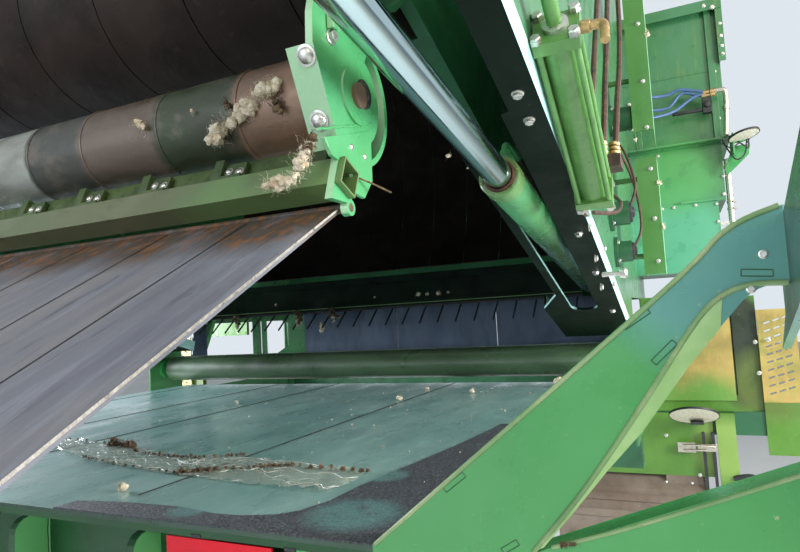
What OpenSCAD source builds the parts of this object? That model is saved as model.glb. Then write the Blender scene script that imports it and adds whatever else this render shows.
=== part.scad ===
// Rear round-module chamber of a cotton picker: fixed chamber frame, part-open
// rear gate with its drum, tail roller and rubber apron, module deck that
// tilts, outriggers and the side gear.  Millimetres, +Z up, rear of the
// machine towards -Y.  The origin is the centre of the four bolt holes under
// the base frame.

/* [Base frame] */
// Height of the base frame's rails
rail_h = 130; // [110:10:150]
// Thickness of the mounting pads
pad_t = 20; // [16:2:26]
// Distance between the mounting holes across the machine
pad_span_x = 1120; // [1080:20:1160]
// Distance between the mounting holes along the machine
pad_span_y = 800; // [760:20:840]
// Radius of each mounting hole
pad_hole_r = 11; // [8:1:14]
// Distance between the rails' centre lines
rail_span = 900; // [860:20:940]
// Width of a rail
rail_w = 120; // [100:10:130]

/* [Side walls] */
// Distance from the gate's side sheet to the wall's outer face
wall_gap = 240; // [230:2:250]
// Thickness of a side wall
wall_t = 10; // [8:1:14]
// Width of the diagonal strut under each wall
strut_w = 66; // [56:2:68]
// Height of the diagonal strut
strut_h = 60; // [54:2:70]
// Slope of the diagonal strut in degrees
strut_slope = 16.4; // [16:0.2:17]

/* [Deck] */
// Height of the deck's top above the mounting pads
deck_z = 420; // [410:2:430]
// Length of the deck along the machine
deck_len = 2110; // [2060:10:2120]
// Width of the deck
deck_w = 2400; // [2380:10:2420]
// Thickness of the deck plate
deck_t = 8; // [6:1:12]
// Depth of the deck's edge flanges
deck_edge_h = 96; // [80:4:110]

/* [Rollers] */
// Diameter of the starter roller at the front of the deck
starter_d = 150; // [130:5:156]
// Diameter of the tail roller under the gate
tail_d = 156; // [140:4:164]
// Diameter of the gate's lagged drum
drum_d = 400; // [360:10:416]
// Diameter of the idler rollers behind the belts
idler_d = 110; // [90:5:120]

/* [Gate] */
// Distance between the outer faces of the gate's side sheets
gate_w = 2400; // [2390:2:2404]
// Thickness of the gate's side sheets
gate_t = 8; // [6:1:10]
// Width of the gate's rim flange outside its sheet
rim_w = 20; // [14:2:22]
// Number of belts side by side
belt_count = 11; // [8:1:12]
// Thickness of a belt
belt_t = 8; // [6:1:10]
// Length of the rubber apron
apron_len = 650; // [560:10:680]
// Thickness of the rubber apron
apron_t = 7; // [5:1:9]

/* [Gate cylinders] */
// Distance from the gate's side sheet to a gate cylinder's centre line
cyl_gap = 106; // [104:0.5:107]
// Radius of the gate cylinder's barrel
barrel_r = 45; // [42:1:48]
// Radius of the gate cylinder's rod
rod_r = 31; // [28:1:33]

/* [Outriggers] */
// Depth of the outrigger's formed section
arm_depth = 46; // [36:2:54]
// Thickness of the outrigger's sheet
arm_t = 8; // [6:1:10]

/* [Side gear] */
// Depth of the side boxes along the machine
box_depth = 560; // [480:20:600]
// Radius of the upper work lamp
lamp_r = 77; // [70:1:79]
// Radius of a hose
hose_r = 8; // [6:1:10]

/* [Hidden] */
$fn = 48;

green = "#2c8c3f";
dark_green = "#17502a";
deck_green = "#5f8f84";
steel = "#b9bcc0";
chrome = "#d8dadd";
rubber = "#2b2624";
apron_grey = "#6a6360";
rust = "#5a3f33";
black = "#1b1b1c";
amber = "#a9843f";
red = "#d8232a";
lens = "#d9d6cc";

// Running clearance round a pin, and the seat gap between pieces that bear
pin_gap = 0.05;
seat = 0.3;

// Side walls and strut.  A place in the side view is [y, z].
wall_out = gate_w / 2 + wall_gap;
wall_in = wall_out - wall_t;
beam_top = pad_t + rail_h;
rear_beam_y = [-500, -380];
front_beam_y = [330, 450];
strut_start = -2850;
strut_end = -560;
strut_ref = [-2493, 1200];
function strut_low(y) = strut_ref[1] - tan(strut_slope) * (y - strut_ref[0]);
function strut_top(y) = strut_low(y) + strut_h / cos(strut_slope);

// Pivots in the side view
deck_rear = -2670;
deck_front = deck_rear + deck_len;
deck_hinge = [-600, deck_z - 100];
gate_pivot = [-1150, 2770];
gate_pin_r = 40;
starter_c = [-520, deck_z + 100];
starter_shaft_r = 25;
chamber_c = [-1150, 1670];
chamber_r = 1150;
gate_c = chamber_c + [-447, 95];
gate_r = chamber_r + 160;
drum_c = gate_c + (chamber_r - 151.04) * unit([-948, -315]);
drum_shaft_r = 32;
tail_c = drum_c + [-127, -337];
tail_shaft_r = 20;
bar_c = tail_c + [-49, -140];
bar_w = 45;
bar_wall = 3;
gate_lean = -24;
apron_pin_r = 7;
apron_slope = 27.8;

// Gate cylinders
cyl_x = gate_w / 2 + cyl_gap;
cyl_base = [-740, 864];
cyl_eye = drum_c + [-555, -258];
cyl_pin_r = 25;
cyl_len = norm(cyl_eye - cyl_base);
barrel_len = 1449;
rod_len = 1544;
rod_pin_w = 122;

// Deck cylinders
deck_cyl_x = 250;
deck_cyl_base = [-620, 60];
deck_cyl_eye = [-1700, deck_z - 125];
deck_cyl_len = norm(deck_cyl_eye - deck_cyl_base);
deck_barrel_len = 640;
deck_rod_len = 760;
deck_barrel_r = 42;
deck_rod_r = 24;
deck_pin_r = 16;

// Points and placing
function pol(c, r, a) = [c[0] + r * cos(a), c[1] + r * sin(a)];
function arc(c, r, a0, a1, n) = [for (i = [0:n]) pol(c, r, a0 + (a1 - a0) * i / n)];
function turned(v, a) = [v[0] * cos(a) - v[1] * sin(a), v[0] * sin(a) + v[1] * cos(a)];
function angle_to(a, b) = atan2(b[1] - a[1], b[0] - a[0]);

module both_sides() {
    children();
    mirror([1, 0, 0]) children();
}

module on_side(s) {
    mirror([s < 0 ? 1 : 0, 0, 0]) children();
}

// A side-view outline made solid from x0 to x1
module across(x0, x1) {
    translate([x0, 0, 0]) rotate([90, 0, 90]) linear_extrude(height = x1 - x0) children();
}

// A rear-view outline, drawn in [x, z], made solid from y0 to y1
module along(y0, y1) {
    translate([0, y1, 0]) rotate([90, 0, 0]) linear_extrude(height = y1 - y0) children();
}

module shaft(x0, x1, c, r) {
    translate([x0, c[0], c[1]]) rotate([0, 90, 0]) cylinder(r = r, h = x1 - x0);
}

module block(x, y, z) {
    translate([x[0], y[0], z[0]]) cube([x[1] - x[0], y[1] - y[0], z[1] - z[0]]);
}

// Local +Z laid along the line from place a to place b of the side view
module aimed(x, a, b) {
    translate([x, a[0], a[1]]) rotate([atan2(a[0] - b[0], b[1] - a[1]), 0, 0]) children();
}

// A round hose through hand-chosen points
function unit(v) = v / norm(v);
function catmull(a, b, c, d, t) =
    0.5 * (2 * b + (c - a) * t + (2 * a - 5 * b + 4 * c - d) * t * t + (3 * b - a - 3 * c + d) * t * t * t);
function smooth(p, m) = concat(
    [for (i = [0:len(p) - 2]) for (j = [0:m - 1])
        catmull(p[max(i - 1, 0)], p[i], p[i + 1], p[min(i + 2, len(p) - 1)], j / m)],
    [p[len(p) - 1]]);
function heading(p, i) = unit(p[min(i + 1, len(p) - 1)] - p[max(i - 1, 0)]);
function hoop(c, t, r, n) =
    let (u = unit(cross(t, [1, 0.13, 0.07])), v = cross(t, u))
    [for (i = [0:n - 1]) c + r * (cos(360 * i / n) * u + sin(360 * i / n) * v)];

module tube(route, r, n = 8, m = 3) {
    p = smooth(route, m);
    last = len(p) - 1;
    rings = [for (i = [0:last]) each hoop(p[i], heading(p, i), r, n)];
    sides = [for (k = [0:last - 1]) for (i = [0:n - 1])
        [k * n + i, (k + 1) * n + i, (k + 1) * n + (i + 1) % n, k * n + (i + 1) % n]];
    caps = [[for (i = [0:n - 1]) i], [for (i = [n - 1:-1:0]) last * n + i]];
    polyhedron(points = rings, faces = concat(sides, caps), convexity = 6);
}

// Base frame

hinge_x = 800;
hinge_lug_t = 20;
hinge_gap = 62;
hinge_pin_r = 20;
pad_len = 120;
out_beam_x = wall_out + 610;

module base_frame() {
    color(dark_green) {
        difference() {
            union() {
                both_sides() {
                    block([rail_span / 2 - rail_w / 2, rail_span / 2 + rail_w / 2], [rear_beam_y[0], 720],
                        [pad_t, beam_top]);
                    for (y = [-pad_span_y / 2, pad_span_y / 2])
                        block([rail_span / 2 - rail_w / 2, pad_span_x / 2 + pad_len / 2],
                            [y - pad_len / 2, y + pad_len / 2], [0, pad_t]);
                    deck_hinge_lugs();
                    deck_cylinder_lugs();
                }
                block([-wall_out, wall_out], rear_beam_y, [pad_t, beam_top]);
                block([-out_beam_x, out_beam_x], front_beam_y, [pad_t, beam_top]);
            }
            both_sides() for (y = [-pad_span_y / 2, pad_span_y / 2])
                translate([pad_span_x / 2, y, -1]) cylinder(r = pad_hole_r, h = pad_t + rail_h + 2);
        }
    }
}

module deck_hinge_lugs() {
    for (x = [hinge_x - hinge_gap / 2 - hinge_lug_t, hinge_x + hinge_gap / 2])
        across(x, x + hinge_lug_t) union() {
            translate(deck_hinge) circle(r = 44);
            polygon([deck_hinge + [-44, 0], deck_hinge + [44, 0], [rear_beam_y[1], beam_top],
                [rear_beam_y[0], beam_top - 20]]);
        }
    shaft(hinge_x - hinge_gap / 2 - hinge_lug_t, hinge_x + hinge_gap / 2 + hinge_lug_t, deck_hinge,
        hinge_pin_r);
}

base_lug_t = 14;
base_lug_gap = 2 * deck_barrel_r + 12;

module deck_cylinder_lugs() {
    for (x = [deck_cyl_x - base_lug_gap / 2 - base_lug_t, deck_cyl_x + base_lug_gap / 2])
        across(x, x + base_lug_t) union() {
            translate(deck_cyl_base) circle(r = 34);
            polygon([deck_cyl_base + [0, -34], [rear_beam_y[0], pad_t + 6], [rear_beam_y[0], beam_top - 10],
                deck_cyl_base + [0, 34]]);
        }
    shaft(deck_cyl_x - base_lug_gap / 2 - base_lug_t, deck_cyl_x + base_lug_gap / 2 + base_lug_t,
        deck_cyl_base, deck_pin_r);
}

// Side walls, with the pins that carry the gate and its cylinder

wall_front = chamber_c[0] + chamber_r + 900;
leg_rear = -650;
gate_pin_in = gate_w / 2 - gate_t - 16;
cyl_pin_in = cyl_x - 44;

function wall_outline() = concat(
    [[strut_end, beam_top], [strut_end, strut_top(strut_end) + seat],
        [-2700, strut_top(-2700) + seat], [-2560, strut_top(-2700) + 180]],
    arc(gate_pivot + [60, -420], 640, 205, 90, 8),
    [[wall_front, gate_pivot[1] + 220], [wall_front, beam_top]]);

module wall_pad(c, r) {
    shaft(wall_in - 24, wall_in, c, r);
}

module side_wall() {
    color(green) difference() {
        union() {
            across(wall_in, wall_out) {
                polygon(wall_outline());
                polygon([[leg_rear, beam_top], [strut_end + 1, beam_top],
                    [strut_end + 1, strut_low(strut_end) - 6], [leg_rear, strut_low(leg_rear) - 6]]);
            }
            wall_pad(gate_pivot, 90);
            wall_pad(cyl_base, 60);
            shaft(gate_pin_in, wall_in, gate_pivot, gate_pin_r);
            shaft(cyl_pin_in, wall_in, cyl_base, cyl_pin_r);
            wall_ribs();
        }
        shaft(wall_in - 40, wall_out + 1, starter_c, starter_shaft_r + 14);
        across(wall_in - 30, wall_out + 1) polygon(wall_window());
    }
}

// Open bay in the wall beside the comb beam
function wall_window() = [
    [-360, 360], [wall_front - 110, 360], [wall_front - 90, 380], [wall_front - 90, 780],
    [wall_front - 110, 800], [-360, 800], [-380, 780], [-380, 380]];

// Channel ribs on the inside of the wall, from the pivot down and along the top
module wall_ribs() {
    rib = 24;
    top_rib_y = -440;
    across(wall_in - rib, wall_in) {
        polygon([[gate_pivot[0] + 70, gate_pivot[1]], [gate_pivot[0] + 130, gate_pivot[1]],
            [cyl_base[0] + 30, cyl_base[1] + 40], [cyl_base[0] - 30, cyl_base[1] + 40]]);
        polygon([[top_rib_y, gate_pivot[1] + 100], [wall_front - 20, gate_pivot[1] + 100],
            [wall_front - 20, gate_pivot[1] + 150], [top_rib_y, gate_pivot[1] + 150]]);
        polygon([[wall_front - 80, beam_top + 10], [wall_front - 20, beam_top + 10],
            [wall_front - 20, gate_pivot[1] + 100], [wall_front - 80, gate_pivot[1] + 100]]);
    }
}

module side_wall_right() { on_side(1) side_wall(); }
module side_wall_left() { on_side(-1) side_wall(); }

// Diagonal strut: a box beam with a gusset along its underside that has a
// U notch for the gate cylinder

strut_in = wall_out - strut_w;
notch_half = barrel_r + 5;
notch_front = -975;
// The gusset's long leg stands beside the cylinder, clear of the gate
leg_in = gate_w / 2 + 28;
leg_start = -2280;
gusset_t = 10;
gusset_in = 1150;
gusset_start = -1180;

// Distance along the strut's slope of a place y
function slope_len(y) = (y - strut_start) / cos(strut_slope);

module strut_plane() {
    translate([0, strut_start, strut_low(strut_start)]) rotate([-strut_slope, 0, 0]) children();
}

module gusset_outline() {
    difference() {
        polygon([
            [strut_in + 1, slope_len(leg_start - 60)], [strut_in + 1, slope_len(strut_end)],
            [gusset_in, slope_len(strut_end)], [gusset_in, slope_len(gusset_start + 160)],
            [leg_in, slope_len(gusset_start)], [leg_in, slope_len(leg_start)],
            [strut_in - 1, slope_len(leg_start - 60)]]);
        translate([cyl_x, slope_len(notch_front) - notch_half]) circle(r = notch_half);
        translate([cyl_x - notch_half, slope_len(leg_start - 80)])
            square([2 * notch_half, slope_len(notch_front) - notch_half - slope_len(leg_start - 80)]);
    }
}

module side_strut() {
    color(green) {
        across(strut_in, wall_out) polygon([
            [strut_start, strut_low(strut_start)], [strut_end, strut_low(strut_end)],
            [strut_end, strut_top(strut_end)], [strut_start, strut_top(strut_start)]]);
        strut_plane() linear_extrude(height = gusset_t) gusset_outline();
        strut_plane() translate([gusset_in, slope_len(gusset_start + 160), 0])
            cube([8, slope_len(strut_end) - slope_len(gusset_start + 160), 60]);
    }
}

module side_strut_right() { on_side(1) side_strut(); }
module side_strut_left() { on_side(-1) side_strut(); }

// Cross tubes between the walls

module top_tubes() {
    // columns: y, z, radius
    front = wall_front - 140;
    over_belts = chamber_c + (chamber_r + 187.2) * unit([610, 1190]);
    tubes = [[over_belts[0], over_belts[1], 57], [front, gate_pivot[1] + 10, 57], [front, 1500, 50]];
    color(dark_green) for (t = tubes) shaft(-wall_in + seat, wall_in - seat, [t[0], t[1]], t[2]);
}

// Sheets that close the chamber in front and above.  The front is open
// between its two sheets.
sheet_t = 6;
roof_z = gate_pivot[1] + 170;

module front_sheets() {
    x = wall_in - seat;
    y0 = wall_front - 20 + seat;
    color(dark_green) {
        block([-x, x], [y0, y0 + sheet_t], [800, roof_z + sheet_t]);
        block([-x, x], [y0, y0 + sheet_t], [beam_top, 340]);
        block([-x, x], [-440, y0 + 1], [roof_z, roof_z + sheet_t]);
        for (z = [1000, 1600, 2200])
            block([-x + 60, x - 60], [y0 + sheet_t - 1, y0 + sheet_t + 7], [z, z + 60]);
    }
}

// Belt banks.  The belts lie against idler rollers that run between the side
// plates behind them.

belt_margin = 35;
belt_span = gate_w - 2 * belt_margin;
belt_gap = 5;
belt_pitch = belt_span / belt_count;

module belts(c, r, a0, a1, n) {
    outline = concat(arc(c, r, a0, a1, n), arc(c, r + belt_t, a1, a0, n));
    for (i = [0:belt_count - 1]) {
        x = -belt_span / 2 + i * belt_pitch;
        across(x + belt_gap / 2, x + belt_pitch - belt_gap / 2) polygon(outline);
    }
}

front_idlers = [-24, 18, 60];
gate_idlers = [92, 132, 172];
// The belts' flats leave a small sagitta at each idler, which the seat takes in
idler_seat = idler_d / 2 + belt_t + seat;

module front_belts() {
    color(rubber) belts(chamber_c, chamber_r, -32, 84, 29);
}

module front_rollers() {
    color(steel) for (a = front_idlers) {
        c = pol(chamber_c, chamber_r + idler_seat, a);
        shaft(-belt_span / 2, belt_span / 2, c, idler_d / 2);
        shaft(-wall_in + seat, wall_in - seat, c, 25);
    }
}

module gate_belts() {
    color(rubber) belts(gate_c, chamber_r - 60, 80, 187, 28);
}

module gate_rollers() {
    color(steel) for (a = gate_idlers) {
        c = pol(gate_c, chamber_r - 60 + idler_seat, a);
        shaft(-belt_span / 2, belt_span / 2, c, idler_d / 2);
        shaft(-gate_w / 2 + gate_t + seat, gate_w / 2 - gate_t - seat, c, 25);
    }
}

// Comb beam above the starter roller, its tines, the curtain and the window

comb_y = [-470, -330];
comb_z = [830, 1000];
tine_count = 27;
tine_span = 2 * (wall_in - 130);
tine_len = 145;
tine_rake = 40;
curtain_y = comb_y[1] - 40;

module comb_beam() {
    color(dark_green) {
        block([-wall_in + seat, wall_in - seat], comb_y, comb_z);
        block([-wall_in + seat, wall_in - seat], [comb_y[0] - 28, comb_y[0]], [comb_z[1] - 36, comb_z[1]]);
        block([-wall_in + seat, wall_in - seat], [comb_y[0] - 14, comb_y[0]], [comb_z[0], comb_z[0] + 30]);
    }
}

module comb_tines() {
    color(black) {
        block([-tine_span / 2 - 20, tine_span / 2 + 20], [comb_y[0] + 12, comb_y[0] + 40],
            [comb_z[0] - 10, comb_z[0]]);
        for (i = [0:tine_count - 1]) {
            x = -tine_span / 2 + i * tine_span / (tine_count - 1);
            across(x - 3, x + 3) translate([comb_y[0] + 26, comb_z[0] - 5]) rotate(180 + tine_rake)
                translate([0, -4]) square([tine_len, 8]);
        }
    }
}

curtain_t = 8;
curtain_drop = 260;
// columns: left edge, right edge of each curtain panel
curtains = [[-wall_in + 100, -1220], [-440, 180], [184, 760], [764, wall_in - 100]];

module curtain() {
    color("#3b4660") for (c = curtains)
        block([c[0], c[1]], [curtain_y, curtain_y + curtain_t],
            [comb_z[0] - curtain_drop, comb_z[0] - seat]);
}

module window_frame() {
    post_y = [comb_y[1] - 20, comb_y[1] + 20];
    sill_z = comb_z[0] - curtain_drop;
    // columns: left edge, right edge of each upright
    posts = [[-wall_in + 90, -wall_in + 130], [-852, -816], [-780, -768], [-566, -446],
        [wall_in - 130, wall_in - 90]];
    color(green) {
        block([-wall_in + 90, wall_in - 90], post_y, [sill_z - 60, sill_z]);
        for (p = posts) block([p[0], p[1]], post_y, [sill_z - 1, comb_z[0] - seat]);
        // slanted upright and corner gusset
        along(post_y[0] + 4, post_y[1] - 4) {
            polygon([[-1344, sill_z - 1], [-1288, sill_z - 1], [-1172, comb_z[0] - seat],
                [-1212, comb_z[0] - seat]]);
            polygon([[-700, sill_z - 1], [-560, sill_z - 1], [-560, sill_z + 78]]);
        }
        both_sides() block([wall_in - 110, wall_in - seat], post_y, [sill_z - 60, sill_z]);
    }
}

// Starter roller and its bearing units on the walls

starter_x = wall_in - 80;

module starter_roller() {
    color("#3f5a3a") {
        shaft(-starter_x, starter_x, starter_c, starter_d / 2);
        shaft(-wall_out - 60, wall_out + 60, starter_c, starter_shaft_r);
        // wear ridge along the roller
        translate([-starter_x + 30, starter_c[0] - 5, starter_c[1] + starter_d / 2 - 3])
            cube([2 * starter_x - 60, 10, 6]);
    }
}

module starter_bearings() {
    color(green) both_sides() difference() {
        union() {
            shaft(wall_out, wall_out + 30, starter_c, 62);
            shaft(wall_out + 30, wall_out + 44, starter_c, 46);
            shaft(wall_out - 34, wall_out - wall_t, starter_c, 58);
            shaft(wall_out - wall_t, wall_out, starter_c, starter_shaft_r + 14 - seat);
        }
        shaft(wall_out - 40, wall_out + 50, starter_c, starter_shaft_r + pin_gap);
    }
}

// Gate side frame: sheet, rim flange, pivot boss and cylinder lug

sheet_out = gate_w / 2;
sheet_in = sheet_out - gate_t;
boss_out = sheet_out + 34;
lug_out = sheet_out + rim_w;
// Lower edge of the gate's sheet, from the tail bracket forward
edge_mid = drum_c + [102, -68];
edge_front = chamber_c + [-450, -562];

// Flange bent inward along the lower edge, clear of the drum.  Its columns
// are the place along the edge and the height above it.
edge_len = norm(edge_front - edge_mid);
function edge_flange() =
    let (way = unit(edge_front - edge_mid), up = [-way[1], way[0]])
    [for (p = [[110, 1], [edge_len - 30, 1], [edge_len - 30, 1 + gate_t], [110, 1 + gate_t]])
        edge_mid + p[0] * way + p[1] * up];

// The rim stops where the tail bracket lies on the sheet
bracket_gap = [tail_c + [-124, 87], tail_c + [-91, 191], tail_c + [33, 221], tail_c + [76, 87]];

function gate_outline(d) = concat(
    [edge_front + [-d, d], gate_pivot + [110 - d, -60]],
    arc(gate_pivot, 110 - d, -20, 60, 3),
    arc(gate_c, gate_r - d, 78, 200, 16),
    [tail_c + [-138 + d, 127], tail_c + [-28, 123 + d], edge_mid + [-70, -60 + d], edge_mid + [0, d]]);

module gate_frame() {
    color(green) difference() {
        union() {
            across(sheet_in, sheet_out) polygon(gate_outline(0));
            across(sheet_out - 1, lug_out) difference() {
                polygon(gate_outline(0));
                polygon(gate_outline(12));
                polygon(bracket_gap);
            }
            shaft(sheet_in - 8, boss_out, gate_pivot, 84);
            shaft(sheet_in - 6, lug_out, drum_c, 70);
            across(sheet_in - 42, sheet_out - 1) polygon(edge_flange());
            for (a = gate_idlers)
                shaft(sheet_out - 1, lug_out - 6, pol(gate_c, chamber_r - 60 + idler_seat, a), 40);
            cylinder_lug();
        }
        shaft(sheet_in - 20, boss_out + 1, gate_pivot, gate_pin_r + pin_gap);
        shaft(sheet_in - 20, boss_out + 1, drum_c, drum_shaft_r + pin_gap);
    }
}

module cylinder_lug() {
    across(sheet_out - 1, lug_out) union() {
        translate(cyl_eye) circle(r = 56);
        polygon([cyl_eye + [20, -52], cyl_eye + [-30, 48], cyl_eye + [230, 368], cyl_eye + [340, 368],
            cyl_eye + [310, 58]]);
    }
    shaft(sheet_out, cyl_x - rod_pin_w / 2 - 5, cyl_eye, 50);
}

module gate_frame_right() { on_side(1) gate_frame(); }
module gate_frame_left() { on_side(-1) gate_frame(); }

// Lagged drum of the gate

drum_x = sheet_in - 14;

module drum() {
    lag_w = 200;
    lag_gap = 1.5;
    lag_count = 2 * floor(drum_x / lag_w - 0.5) + 1;
    lag_end = lag_count * lag_w / 2;
    color("#2a2422") {
        shaft(-drum_x, drum_x, drum_c, drum_d / 2 - 4);
        for (i = [0:lag_count - 1]) {
            x = -lag_end + i * lag_w;
            shaft(x + lag_gap, x + lag_w - lag_gap, drum_c, drum_d / 2);
        }
        both_sides() shaft(lag_end + lag_gap, drum_x, drum_c, drum_d / 2);
        shaft(-lug_out - 6, lug_out + 6, drum_c, drum_shaft_r);
    }
}

// Tail brackets, roller, scraper bar and apron at the gate's lower end

bracket_in = sheet_out;
bracket_out = sheet_out + 12;
bracket_rim_r = 112;
// The bracket's rear edge is bent inward behind the roller.  The bend leans
// with the gate, and its face clears the roller.
bend_lean = 24.5;
bend_in = tail_d / 2 + 6.5;
bend_t = 8;
bend_w = 46;
bend_low = -62;
bend_top = 88;
apron_pin = bar_c + turned([bar_w / 2, -bar_w / 2], gate_lean)
    + (apron_pin_r + 6) * [cos(315 + gate_lean), sin(315 + gate_lean)];

module bracket_outline() {
    difference() {
        translate(tail_c) circle(r = bracket_rim_r);
        translate(tail_c) rotate(bend_lean) translate([-200, -200]) square([200 - bend_in - bend_t, 400]);
    }
    polygon([
        bend_place(bend_top), tail_c + [-118, 90], tail_c + [-88, 187], tail_c + [32, 217],
        tail_c + [70, 87], tail_c + [20, -105], bar_c + [14, -36], bar_c + [-40, -36],
        bend_place(bend_low)]);
}

// Place on the outer face of the bend, h along it from the roller's axis
function bend_place(h) = tail_c + turned([-bend_in - bend_t, h], bend_lean);

module tail_bracket() {
    color(green) difference() {
        union() {
            difference() {
                across(bracket_in, bracket_out) bracket_outline();
                // crescent opening round the roller's end
                across(bracket_in - 1, bracket_out + 1) difference() {
                    translate(tail_c) circle(r = bracket_rim_r - 10);
                    translate(tail_c) circle(r = bracket_rim_r - 34);
                    polygon([tail_c, pol(tail_c, 300, 62), pol(tail_c, 300, 150), pol(tail_c, 300, 240),
                        pol(tail_c, 300, 268)]);
                }
            }
            // rolled rim inward of the plate
            across(sheet_out - 34, bracket_out) difference() {
                intersection() {
                    translate(tail_c) circle(r = bracket_rim_r);
                    polygon([tail_c, pol(tail_c, 300, -92), pol(tail_c, 300, -40), pol(tail_c, 300, 10),
                        pol(tail_c, 300, 50)]);
                }
                translate(tail_c) circle(r = bracket_rim_r - 10);
            }
            across(bracket_out - bend_w, bracket_out) translate(tail_c) rotate(bend_lean)
                translate([-bend_in - bend_t, bend_low]) square([bend_t, bend_top - bend_low]);
            shaft(bracket_in - 6, bracket_out + 4, tail_c, 46);
            apron_ear();
        }
        shaft(bracket_in - 50, bracket_out + 20, tail_c, tail_shaft_r + pin_gap);
        shaft(bracket_in - 50, bracket_out + 20, apron_pin, apron_pin_r + pin_gap);
        bar_socket();
    }
}

module apron_ear() {
    shaft(bracket_in, bracket_out, apron_pin, apron_pin_r + 5.5);
}

// Hole in the bracket through which the bar's end passes
module bar_socket() {
    translate([bracket_in - 20, bar_c[0], bar_c[1]]) rotate([gate_lean, 0, 0])
        translate([0, -bar_w / 2 - seat, -bar_w / 2 - seat])
            cube([60, bar_w + 2 * seat, bar_w + 2 * seat]);
}

module tail_bracket_right() { on_side(1) tail_bracket(); }
module tail_bracket_left() { on_side(-1) tail_bracket(); }

tail_x = sheet_out - 16;

module tail_roller() {
    color(rust) {
        shaft(-tail_x, tail_x, tail_c, tail_d / 2);
        shaft(-bracket_out - 10, bracket_out + 10, tail_c, tail_shaft_r);
    }
}

module scraper_bar() {
    x = bracket_out + 10;
    color("#2f6b34") translate([-x, bar_c[0], bar_c[1]]) rotate([gate_lean, 0, 0]) difference() {
        translate([0, -bar_w / 2, -bar_w / 2]) cube([2 * x, bar_w, bar_w]);
        translate([-1, -bar_w / 2 + bar_wall, -bar_w / 2 + bar_wall])
            cube([2 * x + 2, bar_w - 2 * bar_wall, bar_w - 2 * bar_wall]);
    }
}

// Scraper blade and the clips that hold it on the bar
clip_count = 13;
clip_pitch = 166;

module scraper_clips() {
    blade_len = tail_c[1] - bar_c[1] - tail_d / 2 - bar_w / 2 + 2;
    color(green) translate([0, bar_c[0], bar_c[1]]) rotate([gate_lean, 0, 0]) {
        translate([-tail_x + 10, -4, bar_w / 2]) cube([2 * tail_x - 20, 5, blade_len]);
        for (i = [0:clip_count - 1])
            translate([(i - (clip_count - 1) / 2) * clip_pitch - 30, 0, bar_w / 2]) {
                translate([0, -22, 0]) cube([60, 44, 6]);
                translate([0, -22, 0]) cube([18, 18, 40]);
                translate([0, -14, 0]) cube([60, 8, 34]);
            }
    }
}

apron_x = sheet_out - 6;

module apron() {
    dir = [-cos(apron_slope), -sin(apron_slope)];
    out = [sin(apron_slope), -cos(apron_slope)];
    color(apron_grey) {
        across(-apron_x, apron_x) polygon([
            apron_pin - out * apron_t / 2, apron_pin + dir * apron_len - out * (apron_t / 2 - 6),
            apron_pin + dir * apron_len + out * (apron_t / 2 + 6), apron_pin + dir * 300 + out * (apron_t / 2 + 3),
            apron_pin + out * apron_t / 2]);
        shaft(-bracket_out, bracket_out, apron_pin, apron_pin_r);
    }
}

// Hydraulic cylinders.  Local +Z runs from the base pin towards the rod's eye.

// Space below the piston, the gland at the mouth and the piston's own length
barrel_floor = 8;
gland_len = 36;
piston_len = 24;

module barrel(length, r, rod, pin, eye_r, eye_w, wall = 9) {
    difference() {
        union() {
            translate([0, 0, eye_r * 0.6]) cylinder(r = r, h = length - eye_r * 0.6);
            translate([0, 0, length - 34]) cylinder(r = r + 3, h = 34);
            translate([-eye_w / 2, 0, 0]) rotate([0, 90, 0]) cylinder(r = eye_r, h = eye_w);
        }
        translate([0, 0, eye_r + barrel_floor])
            cylinder(r = r - wall, h = length - eye_r - barrel_floor - gland_len);
        translate([0, 0, eye_r + barrel_floor]) cylinder(r = rod + pin_gap, h = length);
        translate([-eye_w, 0, 0]) rotate([0, 90, 0]) cylinder(r = pin + pin_gap, h = 2 * eye_w);
    }
}

module rod(reach, length, r, piston_r, eye_r, eye_w, pin, pin_w) {
    translate([0, 0, reach - length]) cylinder(r = r, h = length - eye_r * 0.5);
    translate([0, 0, reach - length]) cylinder(r = piston_r, h = piston_len);
    translate([-eye_w / 2, 0, reach]) rotate([0, 90, 0]) cylinder(r = eye_r, h = eye_w);
    translate([-pin_w / 2, 0, reach]) rotate([0, 90, 0]) cylinder(r = pin, h = pin_w);
}

module gate_barrel() {
    color(green) aimed(cyl_x, cyl_base, cyl_eye)
        barrel(barrel_len, barrel_r, rod_r, cyl_pin_r, 54, 2 * (cyl_x - cyl_pin_in) - 14);
}

module gate_rod() {
    color(chrome) aimed(cyl_x, cyl_base, cyl_eye)
        rod(cyl_len, rod_len, rod_r, barrel_r - 9.3, 48, 56, 25, rod_pin_w);
}

module gate_barrel_right() { on_side(1) gate_barrel(); }
module gate_barrel_left() { on_side(-1) gate_barrel(); }
module gate_rod_right() { on_side(1) gate_rod(); }
module gate_rod_left() { on_side(-1) gate_rod(); }

module deck_barrels() {
    color(dark_green) both_sides() aimed(deck_cyl_x, deck_cyl_base, deck_cyl_eye)
        barrel(deck_barrel_len, deck_barrel_r, deck_rod_r, deck_pin_r, 34, base_lug_gap - 10, 7);
}

module deck_rods() {
    color(chrome) both_sides() aimed(deck_cyl_x, deck_cyl_base, deck_cyl_eye)
        rod(deck_cyl_len, deck_rod_len, deck_rod_r, deck_barrel_r - 7.3, 32, rod_lug_gap - 11, 16,
            rod_lug_gap - 10);
}

// Deck: plate with edge flanges, beams and ribs beneath, hinge knuckles

deck_x = deck_w / 2;
deck_low = deck_z - deck_t;
deck_beam_x = 380;
deck_beam_w = 60;

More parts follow.
